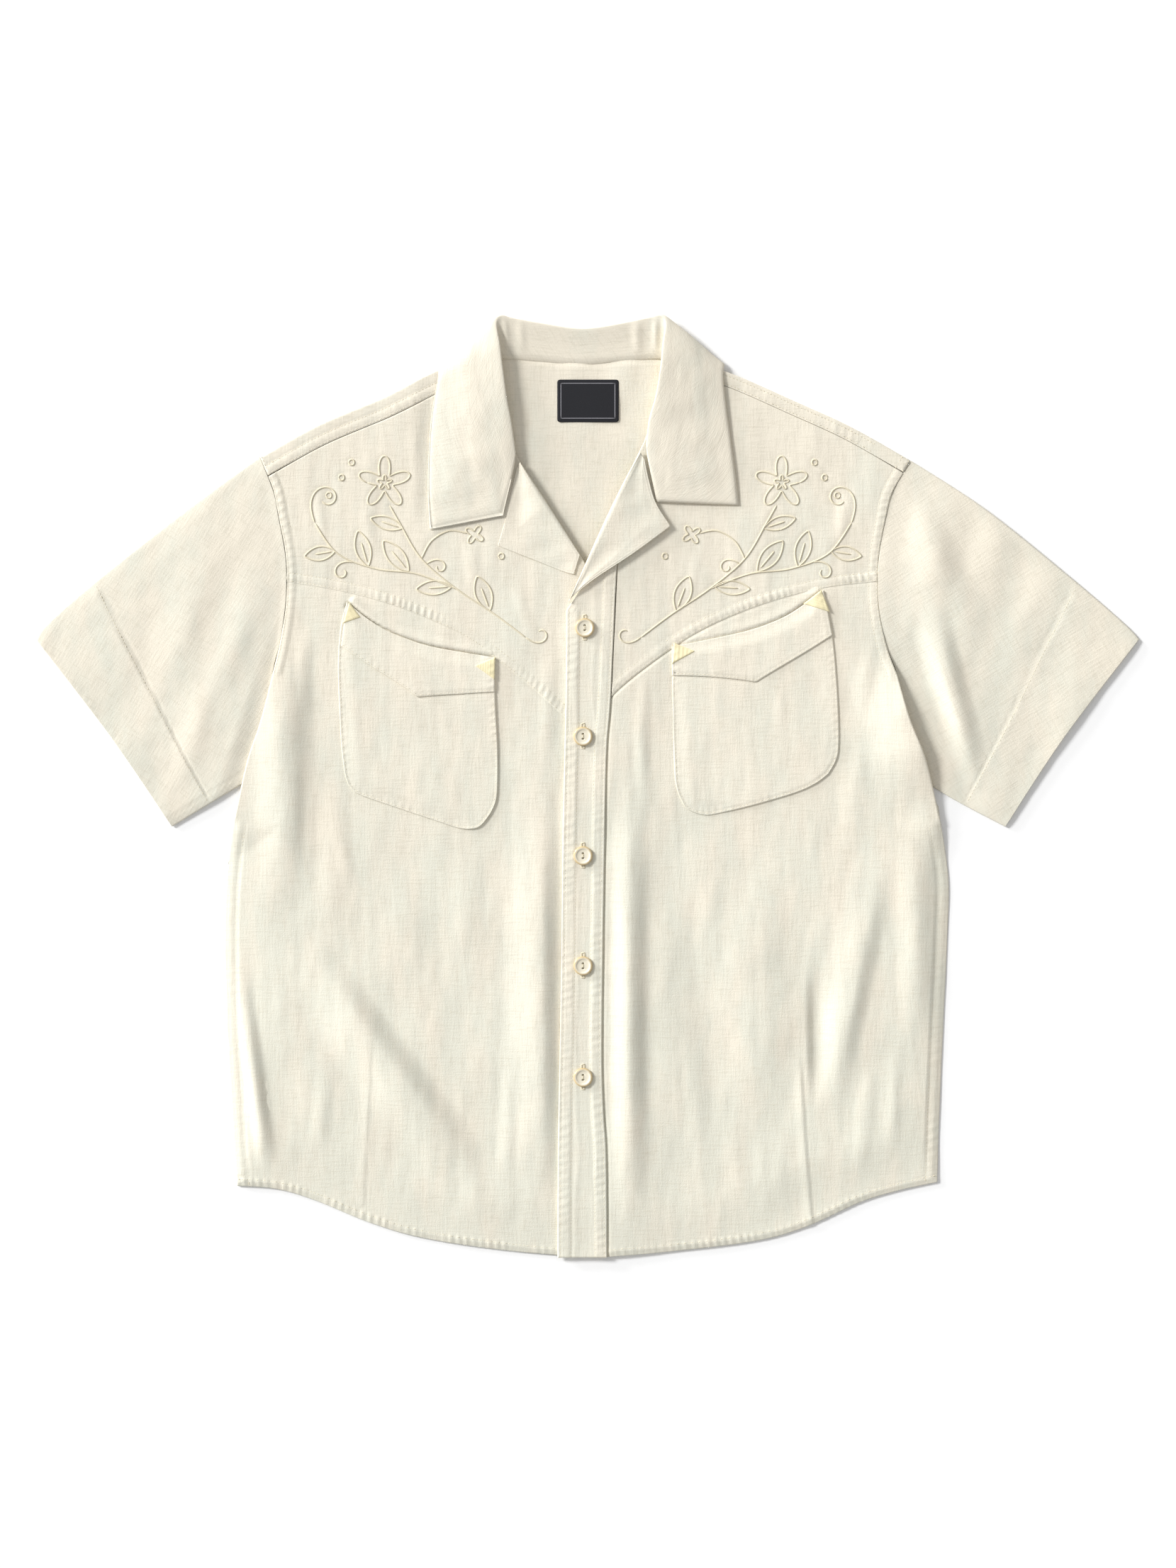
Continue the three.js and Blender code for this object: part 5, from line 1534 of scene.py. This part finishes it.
# The neck seam is sewn down into the cloth, and the leaf's rims are pressed flat, more so on the right leaf.
at_seam = SEAM_DROP * smooth(5, 0, summed(middle, 0))
upper[..., 2] -= at_seam + 0.25 * smooth(3, 0, to_border) * leaf
upper[..., 2] -= 0.4 * smooth(6, 0, to_border) * leaf * smooth(-40, -90, plan_x)
lower[..., 2] -= at_seam
cut_map = np.stack([summed(middle, 1), summed(middle, 0)], 2)
collar = wall("collar_cloth", upper + lift, lower + lift, CREPE, cut=cut_map)
finish_cloth(collar, "collar")

# %% [markdown]
# ## Lapels and placket
# The lapels are the ends of the fronts, turned back with their facing up. Each is high at its roll and
# falls to its outer edge. The placket is a folded strip, sewn down both sides, and carries the buttons.

# %% Lapels
# How far the outer edge of each lapel stands off (or is pressed into) the cloth below it.
LAPEL_LIFT = {"right": -0.75, "left": 1.6}


def make_lapel(side):
    """Grid from the roll line to the outer edge, which swells up after the roll and falls slowly outwards."""
    rises = LAPEL_ROLL[side]["rise"]
    outer = edge((LAPEL_EDGE[side][:LAPEL_TIP + 1], 4), (LAPEL_EDGE[side][LAPEL_TIP:], 5))
    roll = whole(LAPEL_ROLL[side]["line"])
    vs = lines(125, 1.4)
    us = lines(50, 1.3)
    start, end = roll(1 - vs)[:, None], outer(1 - vs)[:, None]
    plan = start * (1 - us[None, :, None]) + end * us[None, :, None]
    x, y = plan[..., 0], plan[..., 1]
    rise = np.interp((1 - vs) * (len(rises) - 1), np.arange(len(rises)), rises)[:, None]
    swell = smooth(-0.05, 0.05, us)[None] * smooth(0.62, 0.06, us)[None]
    on_placket = PLACKET_WALL - WALL + SEAM if side == "left" else 0
    lifted = LAPEL_LIFT[side] * smooth(0.2, 0.7, us)[None] * smooth(0, 0.12, vs)[:, None]
    under = front_level(side, x, y) + WALL + SEAM + on_placket + rise * swell + lifted
    distance = border_distance(plan)
    soft = waves(x, y, 40, 18, 0.12, 10, 41)
    ribs = 0.1 * np.cos(distance * 2.2) * smooth(6, 1, distance)
    top = under + WALL + soft * np.clip(distance / 8, 0, 1) + ribs - rolled(distance, RIM)
    upper, lower = np.stack([x, y, top], 2), np.stack([x, y, np.minimum(under, top - 0.3)], 2)
    if side == "right":
        upper, lower = upper[:, ::-1], lower[:, ::-1]
    piece = shell(f"lapel_{side}_cloth", upper, lower, CREPE)
    finish_cloth(piece, f"lapel_{side}")


for side in SIDES:
    make_lapel(side)


# %% Placket
def placket_underside(x, y):
    """Underside of the placket: flat across, at the level of the left front's lap."""
    return front_level("left", np.zeros_like(x), y)


def placket_top(x, y):
    """Upper face of the placket: flat across, with its stitch lines and two soft ridges along it."""
    level = placket_underside(x, y) + PLACKET_WALL
    drift = waves(y, np.zeros_like(y), 120, 50, 1.0, 5, 51)
    ridge = 0.22 * np.exp(-(((x + 9 - drift) / 2.4) ** 2)) + 0.16 * np.exp(-(((x - 5 - drift) / 2.0) ** 2))
    return level + ridge + 0.5 * softness(x, y) + sewn("placket", x, y)


def placket_plan():
    """Plan grid between the two wavering sides of the placket, from the hem up under the lapel."""
    low, high = (whole([PLACKET["right"][k], PLACKET["left"][k]]) for k in (0, -1))
    return patch(low, high, whole(PLACKET["right"]), whole(PLACKET["left"]), lines(38, 1.0), lines(560, 1.5))


laid("placket", placket_plan(), placket_top, placket_underside, radius=0.7)

# %% [markdown]
# ## Pockets
# A curved patch pocket is sewn on along its sides and foot, and its mouth stays open. The V-shaped band on
# top is a second layer. Both follow the front below them, so they take the same waves, and they lie a
# little proud, so that their edges catch the light on the left and throw a line of shadow on the right.

# %% Pockets and bands
# Stretch of a pocket's outline that stands off the front, as lengths along it, and how far it stands.
STANDING = {"right": (236, 470, 0.9), "left": (150, 470, 0.0)}
# Stretch of a band's lower edge that stands off the pocket.
BAND_STANDING = {"right": (200, 300), "left": (62, 300)}
PRESSED = 0.85


def stretch(run, low, high):
    """1 between two lengths along a path and 0 outside, with soft ends."""
    return smooth(low, low + 24, run) * smooth(high, high - 24, run)


def pocket_top(side):
    """Upper face of a pocket: pressed down at its mouth, and round its outline except where it stands off.

    The band's lower edge presses a line into the pocket wherever the band itself doesn't stand off.
    """
    def height(x, y):
        """Level, the deeper of the two presses, the band's crease and the sewing."""
        level = above_front(side, 2 * WALL + POCKET_GAP)(x, y) + softness(x, y) - 0.25
        mouth = near(MOUTH_PATH[side], x, y, 20)[0]
        at_mouth = 0.9 * smooth(12, 0, np.abs(mouth))
        rim, run = near(POCKET_PATH[side], x, y, 14)
        low, high, proud = STANDING[side]
        stands = stretch(run, low, high)
        depth = PRESSED - (PRESSED * 0.6 + proud) * stands
        at_rim = depth * smooth(13 - 8.5 * stands, 0, rim) * (rim < FOUND)
        free = 1 - stands * smooth(14, 6, rim)
        band, band_run = near(BAND_PATH[side], x, y, 14)
        crease = groove(band, -0.5, 0.5, 0.8) * (1 - stretch(band_run, *BAND_STANDING[side]))
        return level - np.maximum(at_mouth * free, at_rim) + crease + sewn(f"pocket_{side}", x, y)
    return height


def band_top(side):
    """Upper face of a band: a second layer on the pocket, pressed at the mouth and along its lower edge."""
    def height(x, y):
        """The pocket's upper face, the layer on it and the sewing."""
        mouth = near(MOUTH_PATH[side], x, y, 20)[0]
        low_edge, run = near(BAND_PATH[side], x, y, 14)
        stands = stretch(run, *BAND_STANDING[side])
        layer = 0.95 - 0.45 * smooth(12, 0, np.abs(mouth))
        layer = layer - 0.3 * (1 - stands) * smooth(5, 0, low_edge) * (low_edge < FOUND)
        return pocket_top(side)(x, y) + np.maximum(layer, 0.42) + sewn(f"pocket_band_{side}", x, y)
    return height


def pocket_plans(side):
    """Plan grids of a pocket and of its band."""
    table = POCKET[side]
    first, last = (whole(table[name]) for name in POCKET_SIDES[side])
    low, high = whole(table["band"]), whole(table["mouth"])
    body = patch(whole(table["foot"]), high, first, last, lines(125, 1.4), lines(160, 1.4))
    ends = [whole([tuple(low(np.array(t))), tuple(high(np.array(t)))]) for t in (0.0, 1.0)]
    return body, patch(low, high, *ends, lines(128, 1.3), lines(38, 1.2))


for side in SIDES:
    body, band = pocket_plans(side)
    laid(f"pocket_{side}", body, pocket_top(side), above_front(side, WALL + 0.1))
    laid(f"pocket_band_{side}", band, band_top(side), above_front(side, 2 * WALL + POCKET_GAP), radius=0.45)

# %% [markdown]
# ## Stitches
# A stitch is a short, plump length of thread that dips into the cloth at both ends. One stitch is a spindle
# of ten points, and a row of stitches repeats it along the seam as whole arrays: places, directions and
# heights.

# %% Stitch rows
STITCH = {"length": 2.3, "pitch": 2.9, "width": 0.5, "height": 0.34, "sink": 0.02}
# Level along the armhole up to which its stitches lie on the front, and above which they lie on the yoke.
YOKE_LEVEL = 163


def spindles(centres, directions, lengths, width, height):
    """Points and faces of many stitches: four-sided bars with a point at each end, along their directions."""
    ahead = directions / np.linalg.norm(directions, axis=1, keepdims=True)
    side_way = np.stack([-ahead[:, 1], ahead[:, 0], np.zeros(len(ahead))], 1)
    up = np.array([0.0, 0.0, 1.0])
    half = (lengths / 2)[:, None]
    ring = [(a, b, c) for a in (-0.55, 0.55) for b, c in ((1, 0), (0, 1), (-1, 0), (0, -1))]
    places = [centres + ahead * half * a + side_way * width / 2 * b + up * height / 2 * c for a, b, c in ring]
    places += [centres - ahead * half - up * height * 0.3, centres + ahead * half - up * height * 0.3]
    points = np.stack(places, 1).reshape(-1, 3)
    start = (np.arange(len(centres)) * 10)[:, None]
    quads = [start + np.array([[k, k + 4, (k + 1) % 4 + 4, (k + 1) % 4]]) for k in range(4)]
    tips = [start + np.array([[8, k, (k + 1) % 4]]) for k in range(4)]
    tips += [start + np.array([[9, (k + 1) % 4 + 4, k + 4]]) for k in range(4)]
    return points, np.concatenate(quads), np.concatenate(tips)


def joined(name, parts, material):
    """One object from many (points, quads, triangles) parts."""
    starts = np.cumsum([0] + [len(points) for points, _, _ in parts])
    points = np.concatenate([p for p, _, _ in parts])
    quads = np.concatenate([q + s for (_, q, _), s in zip(parts, starts)])
    triangles = np.concatenate([t + s for (_, _, t), s in zip(parts, starts)])
    thing = mesh_object(name, points, [quads, triangles], material)
    declare(thing)
    return thing


def stitch_row(path, surface):
    """Stitches along a plan path, at the height of the surface below each."""
    count = max(2, int(steps_of(path).sum() / STITCH["pitch"]))
    t = (np.arange(count) + 0.5) / count
    place = along(path, t)
    ahead = along(path, np.minimum(1, t + 0.3 / count)) - along(path, np.maximum(0, t - 0.3 / count))
    centres = np.column_stack([place, surface(place[:, 0], place[:, 1]) - STITCH["sink"]])
    directions = np.column_stack([ahead, np.zeros(count)])
    return spindles(centres, directions, np.full(count, STITCH["length"]), STITCH["width"], STITCH["height"])


def on_grid(grid):
    """Height function of a grid: the mean of the four nearest points, weighted by their closeness."""
    points = grid.reshape(-1, 3)

    def height(x, y):
        """The weighted mean, in groups of 60 places."""
        heights = np.zeros(len(x))
        for chosen in np.array_split(np.arange(len(x)), max(1, len(x) // 60)):
            gaps = (x[chosen, None] - points[None, :, 0]) ** 2 + (y[chosen, None] - points[None, :, 1]) ** 2
            closest = np.argpartition(gaps, 4, axis=1)[:, :4]
            weights = 1 / (np.take_along_axis(gaps, closest, 1) + 0.01)
            heights[chosen] = (points[closest, 2] * weights).sum(1) / weights.sum(1)
        return heights
    return height


rows_of_thread = []
for row in SEAMS:
    node = row.piece
    for place in row.stitches:
        path = moved_left(along(row.path, np.linspace(0, 1, 400)), place)
        if any(row.path is BODY_ARMHOLE[side] for side in SIDES):
            below = path[:, 1] < YOKE_LEVEL
            path = path[below if node.startswith("front") else ~below]
        rows_of_thread.append(stitch_row(path, SURFACE[node]))
for side in SIDES:
    cuff = moved_left(along(spline(CUFF[side]), np.linspace(0.01, 0.99, 300)), -1.6 * INWARD[side])
    rows_of_thread.append(stitch_row(cuff, on_grid(SLEEVE_TOPS[side])))
    shoulder_surface = on_grid(BACK_TOP[-(BACK["flap"] + 1):])
    for place in (1.6, 8.0):
        line = moved_left(along(FORWARD[side], np.linspace(0.01, 0.86, 300)), place)
        rows_of_thread.append(stitch_row(line, shoulder_surface))
topstitching = joined("topstitching", rows_of_thread, THREAD)
print("stitches:", len(topstitching.data.vertices) // 10)

# %% [markdown]
# ## Raised cord
# The embroidery's cord is a thin tube that follows each line of the motif at the height of the yoke. A ring
# of six points is carried along the line, and it tapers at both ends, where the cord is drawn to the
# inside.

# %% Cords along lines
CORD_RADIUS = 0.6
CORD_STEP = 1.1
CORD_SIDES = 6


def tube(line, surface, radius, lift):
    """Tube round a line on a surface: rings in the plane across the tangent, and a point at each end."""
    sides = CORD_SIDES
    length = steps_of(line).sum()
    count = max(6, int(length / CORD_STEP))
    t = np.linspace(0, 1, count)
    flat = along(line, t)
    centre = np.column_stack([flat, surface(flat[:, 0], flat[:, 1]) + lift])
    ahead = np.gradient(centre, axis=0)
    ahead = ahead / np.linalg.norm(ahead, axis=1, keepdims=True)
    aside = np.cross([0.0, 0.0, 1.0], ahead)
    aside = aside / np.linalg.norm(aside, axis=1, keepdims=True)
    over = np.cross(ahead, aside)
    taper = radius * np.clip(np.minimum(t, 1 - t) * length / 1.5, 0.25, 1)
    angles = np.arange(sides) * 2 * math.pi / sides
    around = aside[:, None] * np.cos(angles)[None, :, None] + over[:, None] * np.sin(angles)[None, :, None]
    points = (centre[:, None] + around * taper[:, None, None]).reshape(-1, 3)
    quads = grid_faces(count, sides, around=True)
    ends = np.concatenate([centre[:1] - ahead[:1] * 0.3, centre[-1:] + ahead[-1:] * 0.3])
    k = np.arange(sides)
    first, last = np.full(sides, count * sides), np.full(sides, count * sides + 1)
    base = (count - 1) * sides
    caps = [np.stack([(k + 1) % sides, k, first], 1), np.stack([base + k, base + (k + 1) % sides, last], 1)]
    return np.concatenate([points, ends]), quads, np.concatenate(caps)


for side in SIDES:
    parts = [tube(line, SURFACE[f"yoke_{side}"], CORD_RADIUS, 0.28) for line in MOTIF[side]]
    cords = joined(f"embroidery_{side}", parts, CORD)
    print(f"embroidery {side}: {len(cords.data.vertices)} points")

# %% [markdown]
# ## Arrow tacks
# A western pocket is stayed at both ends of its mouth by an arrow tack: a small triangle of satin stitch,
# with the threads side by side. Here it is a plump triangle whose ribs are a cosine across the threads.

# %% Arrow tacks
TACKS = {
    "right": [
        [(-188.2, 145.6), (-179.2, 133.8), (-193.2, 128.8)],
        [(-89, 95.8), (-73.4, 84.6), (-72.8, 102.5)],
    ],
    "left": [
        [(184.2, 155.1), (191, 137.8), (170.2, 144.5)],
        [(84.6, 107), (67.8, 113.7), (66.6, 96.9)],
    ],
}
SATIN_RIB = 1.1
TACK_ROWS, TACK_COLUMNS = 25, 19


def tack_grid(tip, first, second, surface):
    """Upper and lower grids of a triangle: rows from the tip to the base, columns between its two sides."""
    tip, first, second = (np.asarray(corner, float) for corner in (tip, first, second))
    if np.cross(first - tip, second - tip) > 0:
        first, second = second, first
    v = np.linspace(0.03, 1, TACK_ROWS)[:, None, None]
    u = np.linspace(0, 1, TACK_COLUMNS)[None, :, None]
    plan = tip + v * ((first - tip) * (1 - u) + (second - tip) * u)
    x, y = plan[..., 0], plan[..., 1]
    base = surface(x, y)
    rim = np.clip(border_distance(plan), 0, 1)
    down = np.arange(TACK_ROWS)[:, None] * np.linalg.norm(first - tip) / (TACK_ROWS - 1)
    ribs = 0.09 * np.cos(2 * math.pi * down / SATIN_RIB)
    top = base + 0.15 + 0.6 * np.sqrt(rim) + ribs * rim
    upper, lower = np.stack([x, y, top], 2), np.stack([x, y, base - 0.4], 2)
    return upper[:, ::-1], lower[:, ::-1]


for side in SIDES:
    for k, corners in enumerate(TACKS[side]):
        upper, lower = tack_grid(*corners, SURFACE[f"pocket_band_{side}"])
        declare(wall(f"arrow_tack_{side}_{k + 1}", upper, lower, SATIN))
print("arrow tacks:", 2 * len(TACKS["right"]))

# %% [markdown]
# ## Buttons
# A two-hole shirt button is turned on a lathe: a round foot, a raised rim and a dished middle. The profile
# goes once round the axis, and two drilled holes are cut through it with a boolean. The finished mesh is
# copied to each place on the placket, one above the other.

# %% Buttons
BUTTON = {"radius": 7.5, "height": 2.6, "hole": 0.95, "spacing": 3.4, "turns": 56}
BUTTONS = [(-2.2, 125.4), (-3.6, 39.8), (-3.6, -54.3), (-3.6, -141.1), (-3.6, -229.0)]
BUTTON_LIFT = 0.1
RESIN = resin_material("cast_cream_resin", "#ece4cf", "#cfb789", BUTTON["radius"] * MM)
PROFILE = [(0, 0), (5.9, 0), (6.9, 0.25), (7.35, 0.8), (7.5, 1.4), (7.42, 1.95), (7.1, 2.35), (6.6, 2.55),
           (6.0, 2.6), (5.55, 2.5), (5.2, 2.25), (4.9, 2.0), (4.4, 1.86), (3.0, 1.8), (0, 1.8)]


def turned(profile, turns):
    """Solid of revolution: the profile goes round the axis, and its first and last points are poles on it."""
    angles = np.linspace(0, 2 * math.pi, turns, endpoint=False)
    rings = np.array(profile[1:-1], float)
    points = np.stack([rings[:, None, 0] * np.cos(angles), rings[:, None, 0] * np.sin(angles),
                       np.broadcast_to(rings[:, None, 1], (len(rings), turns))], 2).reshape(-1, 3)
    points = np.concatenate([points, [[0, 0, profile[0][1]], [0, 0, profile[-1][1]]]])
    k = np.arange(turns)
    after = (k + 1) % turns
    quads = grid_faces(len(rings), turns, around=True)
    foot, crown = len(rings) * turns, len(rings) * turns + 1
    last = (len(rings) - 1) * turns
    fans = np.concatenate([np.stack([after, k, np.full(turns, foot)], 1),
                           np.stack([last + k, last + after, np.full(turns, crown)], 1)])
    return points, quads, fans


def places_of(mesh):
    """Places of a mesh's points in metres."""
    co = np.zeros(len(mesh.vertices) * 3, np.float32)
    mesh.vertices.foreach_get("co", co)
    return co.reshape(-1, 3)


def drilled_button():
    """Mesh of the turned button with its two holes cut by a boolean. Its map holds its own x and y."""
    points, quads, fans = turned(PROFILE, BUTTON["turns"])
    body = mesh_object("button_blank", points, [quads, fans], RESIN)
    drills = []
    for sign in (-1, 1):
        drill_profile = [(0, -1), (BUTTON["hole"], -1), (BUTTON["hole"], 4), (0, 4)]
        dots, sides, ends = turned(drill_profile, 20)
        dots[:, 1] += sign * BUTTON["spacing"] / 2
        drills.append(mesh_object(f"drill_{sign}", dots, [sides, ends], RESIN))
        cut = body.modifiers.new("hole", "BOOLEAN")
        cut.object = drills[-1]
        cut.operation = "DIFFERENCE"
    bpy.context.view_layer.update()
    mesh = bpy.data.meshes.new_from_object(body.evaluated_get(bpy.context.evaluated_depsgraph_get()))
    for thing in [body, *drills]:
        bpy.data.objects.remove(thing)
    corners = np.zeros(len(mesh.loops), np.int32)
    mesh.loops.foreach_get("vertex_index", corners)
    mesh.uv_layers["cut"].data.foreach_set("uv", places_of(mesh)[corners, :2].ravel())
    return mesh


def button_place(x, y):
    """Place of a button's foot on the placket."""
    return np.array([x, y, float(placket_top(np.array([x]), np.array([y]))[0]) + BUTTON_LIFT])


master = drilled_button()
for k, (x, y) in enumerate(BUTTONS):
    mesh = master.copy()
    moved = places_of(mesh) + button_place(x, y) * MM
    mesh.vertices.foreach_set("co", moved.astype(np.float32).ravel())
    mesh.update()
    button = bpy.data.objects.new(f"button_{k + 1}_resin", mesh)
    bpy.context.collection.objects.link(button)
    declare(button, f"button_{k + 1}")
print("button triangles:", sum(len(p.vertices) - 2 for p in master.polygons))

# %% [markdown]
# ### Buttonholes and button threads
# A buttonhole is a slit with close stitches all round. The button hides most of it, and the stitches at its
# ends show above and below. Two strands of thread hold the button through its holes.

# %% Buttonholes and threads
BUTTONHOLE = {"low": -9.6, "high": 10.2, "pitch": 0.62, "side": 1.15, "stitch": 2.0}
# Height of the thread's strands above a button's foot, in its dished middle.
STRAND_LEVEL = 1.95


def buttonhole(x, y):
    """Centres, directions and lengths of the stitches round one buttonhole."""
    rows = np.arange(BUTTONHOLE["low"], BUTTONHOLE["high"], BUTTONHOLE["pitch"])
    sides = np.repeat([-1.0, 1.0], len(rows))
    rows = np.tile(rows, 2)
    places = np.column_stack([x + sides * BUTTONHOLE["side"], y + rows])
    directions = np.column_stack([np.ones(len(rows)), 0.12 * sides, np.zeros(len(rows))])
    heights = placket_top(places[:, 0], places[:, 1]) + 0.12
    return np.column_stack([places, heights]), directions, np.full(len(rows), BUTTONHOLE["stitch"])


stitched = []
for x, y in BUTTONS:
    centres, directions, lengths = buttonhole(x, y)
    stitched.append(spindles(centres, directions, lengths, 0.6, 0.5))
    bars = np.array([[x, y + BUTTONHOLE["high"], 0.0], [x, y + BUTTONHOLE["low"], 0.0]])
    bars[:, 2] = placket_top(bars[:, 0], bars[:, 1]) + 0.2
    stitched.append(spindles(bars, np.array([[1.0, 0.1, 0.0], [1.0, -0.1, 0.0]]), np.full(2, 3.6), 0.9, 0.7))
    level = button_place(x, y)[2] + STRAND_LEVEL
    strands = np.array([[x - 0.3, y, level], [x + 0.3, y, level]])
    stitched.append(spindles(strands, np.array([[0.0, 1.0, 0.0]] * 2), np.full(2, 3.9), 0.5, 0.45))
buttonholes = joined("buttonholes", stitched, THREAD)
print("buttonhole stitches:", len(buttonholes.data.vertices) // 10)

# %% [markdown]
# ## Neck label
# A woven label is a small stiff rectangle with rounded corners, sewn to the back below the neck. It is bare
# but for a plain woven border line.

# %% Neck label
LABEL = {"width": 48.6, "height": 33.6, "x": 0.3, "y": 304.6, "wall": 0.8, "corner": 2.2, "bow": 0.25}
LABEL_BASE = NECK_LIFT + WALL + SEAM


def label_plan():
    """Rounded rectangle as a grid: points in the four corners are pulled in onto circles."""
    u = np.linspace(-1, 1, 61)
    v = np.linspace(-1, 1, 43)
    x, y = np.meshgrid(u * LABEL["width"] / 2, v * LABEL["height"] / 2)
    r = LABEL["corner"]
    core_x, core_y = LABEL["width"] / 2 - r, LABEL["height"] / 2 - r
    dx, dy = np.maximum(np.abs(x) - core_x, 0), np.maximum(np.abs(y) - core_y, 0)
    far = np.maximum(np.hypot(dx, dy), 1e-9)
    pull = np.where((dx > 0) & (dy > 0), np.maximum(dx, dy) / far, 1.0)
    x = np.where(dx > 0, np.sign(x) * (core_x + dx * pull), x)
    y = np.where(dy > 0, np.sign(y) * (core_y + dy * pull), y)
    return np.stack([x + LABEL["x"], y + LABEL["y"]], 2)


def label_level(x, _):
    """Upper face of the label, which is bowed across its width like half a cosine wave."""
    bow = LABEL["bow"] * np.cos((x - LABEL["x"]) / LABEL["width"] * math.pi)
    return LABEL_BASE + LABEL["wall"] + bow


def make_label():
    """The label as a thin closed shell on the back."""
    plan = label_plan()
    x, y = plan[..., 0], plan[..., 1]
    upper = np.stack([x, y, label_level(x, y) - rolled(border_distance(plan), 0.3)], 2)
    lower = np.stack([x, y, np.full_like(x, LABEL_BASE)], 2)
    piece = shell("neck_label_satin", upper, lower, NAVY)
    declare(piece, "neck_label")
    return piece


def label_border():
    """A plain woven border line, 3 mm inside the label's edge."""
    half_x, half_y = LABEL["width"] / 2 - 3, LABEL["height"] / 2 - 3
    corners = [(-half_x, -half_y), (half_x, -half_y), (half_x, half_y), (-half_x, half_y), (-half_x, -half_y)]
    places = np.array(corners) + (LABEL["x"], LABEL["y"])
    parts = [tube(np.array(pair), label_level, 0.28, 0.0) for pair in zip(places[:-1], places[1:])]
    joined("neck_label_border", parts, BORDER)


label = make_label()
label_border()
print("label points:", len(label.data.vertices))

# %% [markdown]
# ## Floor
# The table top is a plain white board, larger than the view, just below the shirt. It is scenery.

# %% Floor board
FLOOR_REACH = 6000
FLOOR_LEVEL = -0.3


def add_floor():
    """A square board whose upper face is just under the cloth."""
    corners = ((-1, -1), (1, -1), (1, 1), (-1, 1))
    points = np.array([[x * FLOOR_REACH, y * FLOOR_REACH, FLOOR_LEVEL] for x, y in corners], float)
    floor = mesh_object("floor_board", points, [np.array([[0, 1, 2, 3]])], WHITE)


add_floor()

# %% [markdown]
# ## Sheets and sizes
# Each cloth piece's area on each face is printed beside the width and length that it was cut to, and the
# area of its cut.

for node, (flat, area, rests_on) in CUTS.items():
    piece = bpy.data.objects[f"{node}_cloth"]
    share = sum(p.area for p in piece.data.polygons) / 2
    print(f"{node}: {share:.4f} square metres on each face, cut {flat}, area {area}")
